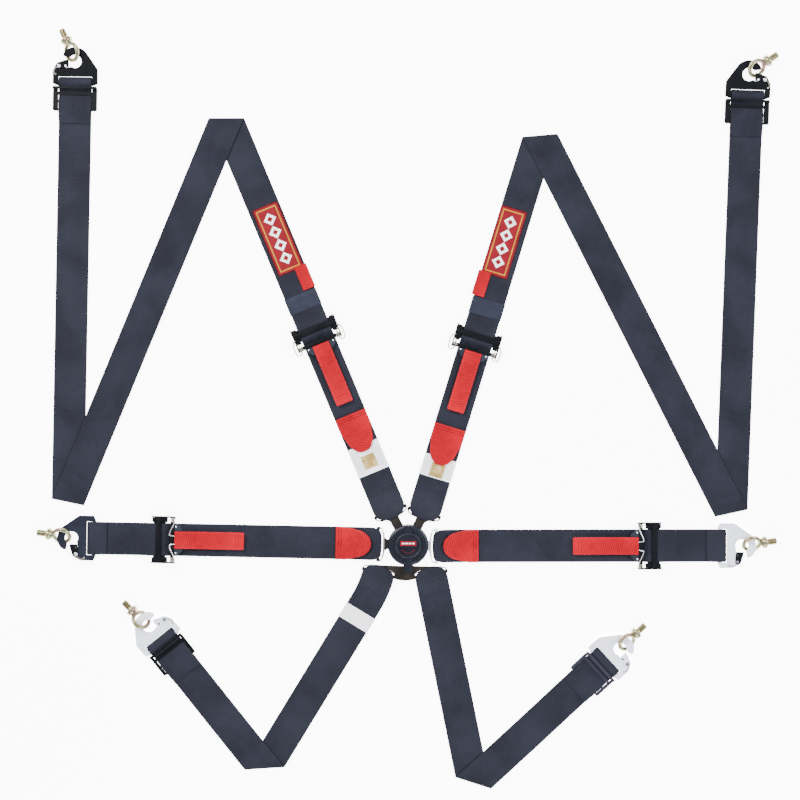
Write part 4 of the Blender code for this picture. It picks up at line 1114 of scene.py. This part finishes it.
def clip_details(name, look, gate_look, mouth):
    """Finish, gate rivet, gate hole and gate spring of one snap hook."""
    soften(name + "_clip", 0.8 if look == "bright" else 0.5, look, 3)
    soften(name + "_gate", 0.3, gate_look)
    place = clip_frame(name)
    x, y = GATE_PIVOT
    top = CLIP_THICK / 2 + GAP + 1.3
    rivet = [(0.0, 0.9), (1.6, 0.85), (2.5, 0.45), (2.9, 0.0), (2.9, -0.4), (0.0, -0.4)]
    lathe(name + "_gate_rivet", rivet, "chrome" if look != "bright" else "lever", name + "_clip",
          "bright_steel", place @ shift(x, y * mouth, top + 0.02), 32)
    # Dimple round the rivet: a near-black ring of painted shade on the coated clips
    ring = [(1.1, 0.96), (1.3, 1.02), (1.5, 0.9), (1.5, 0.7), (1.1, 0.7), (1.1, 0.96)]
    lathe(name + "_gate_rivet_dimple", ring, "hole" if look != "bright" else "bright", name + "_clip",
          "bright_steel", place @ shift(x, y * mouth, top - 0.05), 24)
    # Gate hole: a near-black disc of painted shade on the plated and navy clips, a white disc on the black
    # clips
    hole = [(0.0, 0.06), (1.5, 0.06), (1.7, 0.0), (0.0, -0.05)]
    lathe(name + "_gate_hole", hole, "white_label" if look == "black_steel" else "hole", name + "_gate",
          "bright_steel", place @ shift(x - 0.2, (y - 10.5) * mouth, top), 20)
    tail = [(0.0, 0.5), (0.9, 0.4), (1.3, 0.0), (1.3, -0.2), (0.0, -0.2)]
    lathe(name + "_spring_stud", tail, "chrome", name + "_clip", "bright_steel",
          place @ shift(14.5, 30.6 * mouth, CLIP_THICK / 2), 20)
    bent = [(x + 2.4, (y + 1.0) * mouth, CLIP_THICK / 2 + 0.5), (20.0, (y + 6.8) * mouth, CLIP_THICK / 2 + 0.9),
            (14.5, 31.8 * mouth, CLIP_THICK / 2 + 0.6), (13.0, 30.0 * mouth, CLIP_THICK / 2 + 0.5)]
    wire(name + "_gate_spring", bent, 0.5, "wire", name + "_clip", "spring_steel", place, 5)


def eye_bolt_piece(name):
    """High-resolution forged ring, rounded collar and a threaded shank."""
    turn = JOINTS[name + "_eye_turn"]
    centre = Vector(turn["pos_m"]) / TO_M
    axis = Vector(turn["axis"]).normalized()
    shank = Vector(MOUNTS[name + "_anchor_seat"]["axis"]).normalized()
    frame_mm = axes_at(centre, shank, axis.cross(shank), axis)
    points, faces = [], []
    major, minor, wire_radius = 72, 20, EYE_WIRE_RADIUS * 0.985
    for i in range(major):
        angle = 2 * math.pi * i / major
        for k in range(minor):
            around = 2 * math.pi * k / minor
            radius = EYE_RING_RADIUS + wire_radius * math.cos(around)
            points.append((radius * math.cos(angle), radius * math.sin(angle), wire_radius * math.sin(around)))
    for i in range(major):
        for k in range(minor):
            j, m = (i + 1) % major, (k + 1) % minor
            faces.append((i * minor + k, j * minor + k, j * minor + m, i * minor + m))
    ring = add_piece(name + "_eye_ring", points, faces, "zinc", name + "_eye_bolt", "yellow_zinc", frame_mm)
    along = frame_mm @ Matrix.Rotation(math.radians(90), 4, "Y")
    profile = [(0.0, 39.3), (4.3, 39.3), (4.9, 38.6)]
    pitch = 1.55
    x = 38.2
    while x > 26.5:
        profile += [(5.35, x), (5.35, x - 0.25), (4.65, x - pitch / 2), (4.65, x - pitch / 2 - 0.15)]
        x -= pitch
    profile += [(4.9, 25.8), (5.3, 23.9), (8.4, 23.4), (9.1, 22.7), (9.4, 21.6), (9.3, 19.6), (8.4, 17.6),
                (6.6, 15.2), (5.2, 13.4), (4.0, 12.2), (0.0, 12.2)]
    lathe(name + "_eye_shank", profile, "zinc", name + "_eye_bolt", "yellow_zinc", along, 40, 30)
    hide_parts(name + "_eye_bolt")


# ---------------------------------------------------------------- things sewn on the straps

def top_level(rows):
    """Height of a strip's upper surface at any length, from its rows."""
    def level(x):
        best = 0.0
        for before, after in zip(rows, rows[1:]):
            low, high = sorted((before, after), key=lambda row: row[0])
            if low[0] <= x <= high[0] and high[0] - low[0] > 1e-6:
                share = (x - low[0]) / (high[0] - low[0])
                best = max(best, low[1] + share * (high[1] - low[1]))
        return best + WEB_THICK / 2 + 0.06
    return level


def badge_patch(name, route, area, level, body):
    """Red cloth patch: raised hem, yellow inner border and a plain row of diamonds."""
    x0, x1, y0, y1 = area
    patch(name + "_patch", route, area, level, 0.8, "patch_red", body, "red_webbing")
    lifted = lambda x: level(x) + 0.8
    inset, band = 3.6, 2.0
    frames = {"a": (x0 + inset, x0 + inset + band, y0 + inset, y1 - inset),
              "b": (x1 - inset - band, x1 - inset, y0 + inset, y1 - inset),
              "c": (x0 + inset + band, x1 - inset - band, y0 + inset, y0 + inset + band),
              "d": (x0 + inset + band, x1 - inset - band, y1 - inset - band, y1 - inset)}
    for tag, part in frames.items():
        patch(f"{name}_patch_border_{tag}", route, part, lifted, 0.3, "patch_yellow", body, "red_webbing")
    middle = (y0 + y1) / 2
    size = 10.2
    for index in range(4):
        x = x0 + (x1 - x0) * (index + 1) / 5
        diamond(f"{name}_patch_diamond_{index}", route, (x, middle), size, lifted(x), 0.3, "patch_white", body)
        diamond(f"{name}_patch_heart_{index}", route, (x, middle), size * 0.45, lifted(x) + 0.3, 0.15,
                "patch_red", body)
    corners = ((x0, y0), (x1, y0), (x1, y1), (x0, y1), (x0, y0))
    seams = [seam(route, a, b, level, 0.6) for a, b in zip(corners, corners[1:])]
    stitch_mesh(name + "_patch_hem", seams, "red_thread", body, "red_webbing", 0.62, 2.4, 0.55)


def diamond(name, route, centre, size, base, thick, look, body):
    x, y = centre
    ring = [(x - size, y), (x, y - size), (x + size, y), (x, y + size)]
    points = [route.place(a, b, base) for a, b in ring] + [route.place(a, b, base + thick) for a, b in ring]
    faces = [(3, 2, 1, 0), (4, 5, 6, 7)] + [(i, (i + 1) % 4, (i + 1) % 4 + 4, i + 4) for i in range(4)]
    add_piece(name, points, faces, look, body, "red_webbing", None, False)


def red_flag(name, route, area, level, body):
    """Short red webbing flag caught under the patch's edge."""
    x0, x1, y0, y1 = area
    steps = 14
    rows = []
    for i in range(steps + 1):
        x = x0 + (x1 - x0) * i / steps
        rows.append((x, level(x) + 0.6 + 1.1 * (1 - i / steps), (y1 - y0) / 2, 0.0))
    ribbon(name + "_red_flag", Aside(route, (y0 + y1) / 2), rows, ("red",), body, "red_webbing", 1.2)


class Aside:
    """A route seen from a line beside its centreline."""

    def __init__(self, route, offset):
        self.route = route
        self.offset = offset

    def place(self, x, y, height=0.0):
        return self.route.place(x, y + self.offset, height)

    def fold_spans(self):
        return []


def care_label(name, route, area, level, body, gold):
    """White satin label; on some, a gold square with plain grey rules."""
    x0, x1, y0, y1 = area
    patch(name + "_label", route, area, level, 0.3, "white_label", body, "webbing")
    top = lambda x: level(x) + 0.3
    if gold:
        x, y = (x0 + x1) / 2 - 4.5, (y0 + y1) / 2
        patch(name + "_label_square", route, (x - 11.0, x + 11.0, y - 11.0, y + 11.0), top, 0.12, "foil", body,
              "webbing")
        for index in range(5):
            line, odd = y0 + 3.0 + index * 2.4, index % 2
            for tag, end, low, high in (("l", x1 - 6.0 - 5.0 * odd, line, line + 0.7),
                                        ("r", x1 - 9.0 + 3.0 * odd, -line - 0.7, -line)):
                patch(f"{name}_label_rule_{tag}_{index}", route, (x0 + 4.0, end, low, high), top, 0.05,
                      "grey_print", body, "webbing")
    seams = [seam(route, (x0 + 1.0, y), (x1 - 1.0, y), level, 0.3) for y in (y0 + 1.2, y1 - 1.2)]
    stitch_mesh(name + "_label_stitch", seams, "white_label", body, "webbing", 2.2, 0.5, 0.2)


def sewn_box(name, route, x0, x1, half, level, body, full=False):
    """A sewn block: two rows across, and lengthwise rows between them on a full block."""
    lines = [((x0, -half), (x0, half)), ((x1, -half), (x1, half))]
    if full:
        sides = [half * (index / 5.0 - 1.0) for index in range(11)]
        lines += [((x0, y), (x1, y)) for y in sides]
    stitch_mesh(name, [seam(route, a, b, level) for a, b in lines], "navy_thread", body, "webbing")


def webbing(name, route, rows, looks, node, body=None):
    """Strap webbing that stands in for a CAD node."""
    item = ribbon(name, route, rows, looks, body, "webbing")
    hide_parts(node)
    return item


# ---------------------------------------------------------------- harness runs

def adjustable(name, spec, first_target):
    """The strap from the tongue to the adjuster with its tail, pull, lever and tab."""
    angle = math.atan2(first_target[1] - spec["bar"][1], first_target[0] - spec["bar"][0])
    route = StrapRoute(spec["bar"], angle, end=first_target)
    on_slope = name in LAPS
    roller_x = spec["adjuster"]
    wrap, landing = roller_wrap(roller_x)
    gather = (0.66, 17.0, 1.6) if on_slope else (0.74, 15.0, 8.0)
    settled = (landing[0] - 8.0, WEB_LAYER)
    profile = tongue_loop(50.0 if on_slope else 66.0) + wrap + [landing, settled]
    run = strap_rows(profile, route, gather)
    lower = webbing(name + "_webbing", route, run, ("twill", "rib"), name + "_strap")
    tail_profile = [(settled[0] + 4.0, WEB_LAYER + 0.08), (settled[0] - 2.0, WEB_LAYER + 0.04)]
    if on_slope:
        tail_profile += [(76.0, WEB_LAYER), (62.0, 2 * WEB_LAYER)]
    tail_profile.append((spec["pull"] + TAIL_UNDER_PULL, tail_profile[-1][1]))
    tail_rows = strap_rows(tail_profile, route)
    tail = webbing(name + "_tail_webbing", route, tail_rows, ("twill", "rib"), name + "_strap")
    near = route.place(BLEND_START, 0.0) * TO_M
    far = route.place(settled[0] - 3.0, 0.0) * TO_M
    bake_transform(lower)
    pull_outer = spec["pull"] + PULL_LENGTH
    reach = settled[0] - pull_outer
    route.place(settled[0] + reach, 0.0) * TO_M
    route.place(pull_outer, 0.0) * TO_M
    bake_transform(tail)
    sewn_box(name + "_bar_sewing", route, 33.0, 37.0, 22.0, top_level(run), name + "_strap")
    pull_piece(name, spec, route)
    frame_mm = shift(*route.straight(roller_x, 0), 0) @ turn_z(angle)
    adjuster_details(name, frame_mm, on_slope)
    tab_piece(name, spec, frame_mm)
    return frame_mm, angle, route, run


def slide_arms(name, route, half, look, body):
    """Side arms and cross bar that carry the slide's frame up to the clip."""
    heading = math.atan2(route.last_direction.y, route.last_direction.x)
    place = shift(*route.end_point, 0) @ turn_z(heading)
    arm = [(-15.6, 26.6), (-6.8, 26.6), (-5.2, 28.0), (-5.2, half - 1.6), (-6.6, half), (-15.6, half)]
    post = [(-9.4, 26.8), (-5.4, 26.8), (-5.4, half - 0.5), (-9.4, half - 0.5)]
    for side, end in SIDES:
        for tag, outline, low, high in (("arm", arm, 3.5, 5.8), ("post", post, 5.6, 11.2)):
            slab(f"{name}_slide_{tag}_{end}", mirrored(outline, side), low, high, look, body, "black_steel",
                 place, 0.5)
    bar = [(-9.6, -half + 0.3), (-5.2, -half + 0.3), (-5.2, half - 0.3), (-9.6, half - 0.3)]
    slab(name + "_slide_bar", bar, 9.9, 11.7, look, body, "black_steel", place, 0.7)


def shoulder(name, spec):
    """One shoulder: adjustable lower strap, then the V-folded upper strap with its patch, slide and clip."""
    frame_mm, angle, lower_route, run = adjustable(name, spec, spec["folds"][0])
    care_label(name, lower_route, spec["label"], top_level(run), name + "_strap", True)
    rear = frame_mm @ Vector((REAR_BAR_X, 0, 0))
    folds = ((spec["folds"][0], 1), (spec["folds"][1], -1))
    route = StrapRoute(rear.xy, angle, folds=folds, end=spec["clip"])
    profile = adjuster_loop(52.0) + [(60.0, 0.0), (route.length - 80.0, 0.0)] + slide_loop(route.length)
    rows = strap_rows(profile, route)
    body = name + "_upper_strap"
    webbing(body + "_webbing", route, rows, ("rib", "twill"), body, body)
    # Everything sewn on the upper strap lies within this length
    level = top_level([row for row in rows if row[0] < 260.0])
    badge_patch(name, route, spec["patch"], level, body)
    red_flag(name, route, spec["flag"], level, body)
    patch(name + "_keeper", route, (27.0, 54.0, -26.2, 26.2), level, 0.9, "keeper", body, "webbing")
    sewn_box(name + "_upper_sewing", route, 17.0, 21.0, 22.0, level, body)
    soften(name + "_slide", 0.4, "black_steel", 3)
    slide_arms(name, route, 34.5, "black_steel", body)
    clip_details(name, "black_steel", "black_steel", spec["mouth"])
    eye_bolt_piece(name)


def lap(name, spec):
    """One lap strap: adjustable inner strap, then the outer strap with its clip."""
    frame_mm, angle, _, _ = adjustable(name, spec, spec["clip"])
    rear = frame_mm @ Vector((REAR_BAR_X, 0, 0))
    route = StrapRoute(rear.xy, angle, end=spec["clip"])
    rows = strap_rows(adjuster_loop(73.5) + clip_loop(route.length, 20.0), route)
    body = name + "_outer_strap"
    webbing(body + "_webbing", route, rows, ("twill", "rib"), body, body)
    sewn_box(name + "_outer_sewing", route, 31.0, 68.0, 21.0, top_level(rows), body, True)
    # The right lap clip takes the plate whose top is painted near white as a reflection
    look = "navy_plate" if name == "lap_l" else "bright"
    clip_details(name, look, "black_steel", spec["mouth"])
    eye_bolt_piece(name)


def leg(name, spec):
    """One leg strap: from the shared tongue round its fold to the slide and the clip."""
    start = spec["bar"]
    bar_heading = math.radians(-90.0 - spec["bar_turn"])
    bend = spec["bend"]
    fold = Vector(spec["fold"])
    if bend:
        # A first guess of the heading places the bend's end, and the final heading runs from there
        guess = math.radians(-121.6)
        probe = StrapRoute(start, guess, end=spec["fold"], bend_from=bar_heading, bend_length=bend)
        toward = fold - probe.after_bend()[0]
        first = math.atan2(toward.y, toward.x)
    else:
        first = math.atan2(fold.y - start[1], fold.x - start[0])
        bar_heading = first
    route = StrapRoute(start, first, folds=((spec["fold"], 1),), end=spec["clip"], bend_from=bar_heading,
                       bend_length=bend)
    top = 2 * FOLD_RADIUS - 0.1
    profile = tongue_loop(58.0) + [(route.length - 150.0, 0.0), (route.length - 80.0, -top)]
    profile += [(x, height - top) for x, height in slide_loop(route.length)]
    rows = strap_rows(profile, route, (0.8, 14.0, 8.5))
    body = name + "_strap"
    webbing(name + "_webbing", route, rows, ("twill", "rib"), body, body)
    level = top_level([row for row in rows if row[0] < 200.0])
    sewn_box(name + "_bar_sewing", route, 31.0, 35.0, 22.0, level, body)
    if name == "leg_l":
        care_label(name, route, (66.0, 91.0, -24.6, 24.6), level, body, False)
    finish = "black_steel" if name == "leg_l" else "purple_steel"
    soften(name + "_slide", 0.4, finish, 3)
    slide_arms(name, route, 31.0, finish, body)
    # Leg clips in the plate whose top is painted near white as a reflection
    clip_details(name, "bright", "bright", spec["mouth"])
    eye_bolt_piece(name)


studio()
buckle()
for harness, details in SHOULDERS.items():
    shoulder(harness, details)
for harness, details in LAPS.items():
    lap(harness, details)
for harness, details in LEGS.items():
    leg(harness, details)
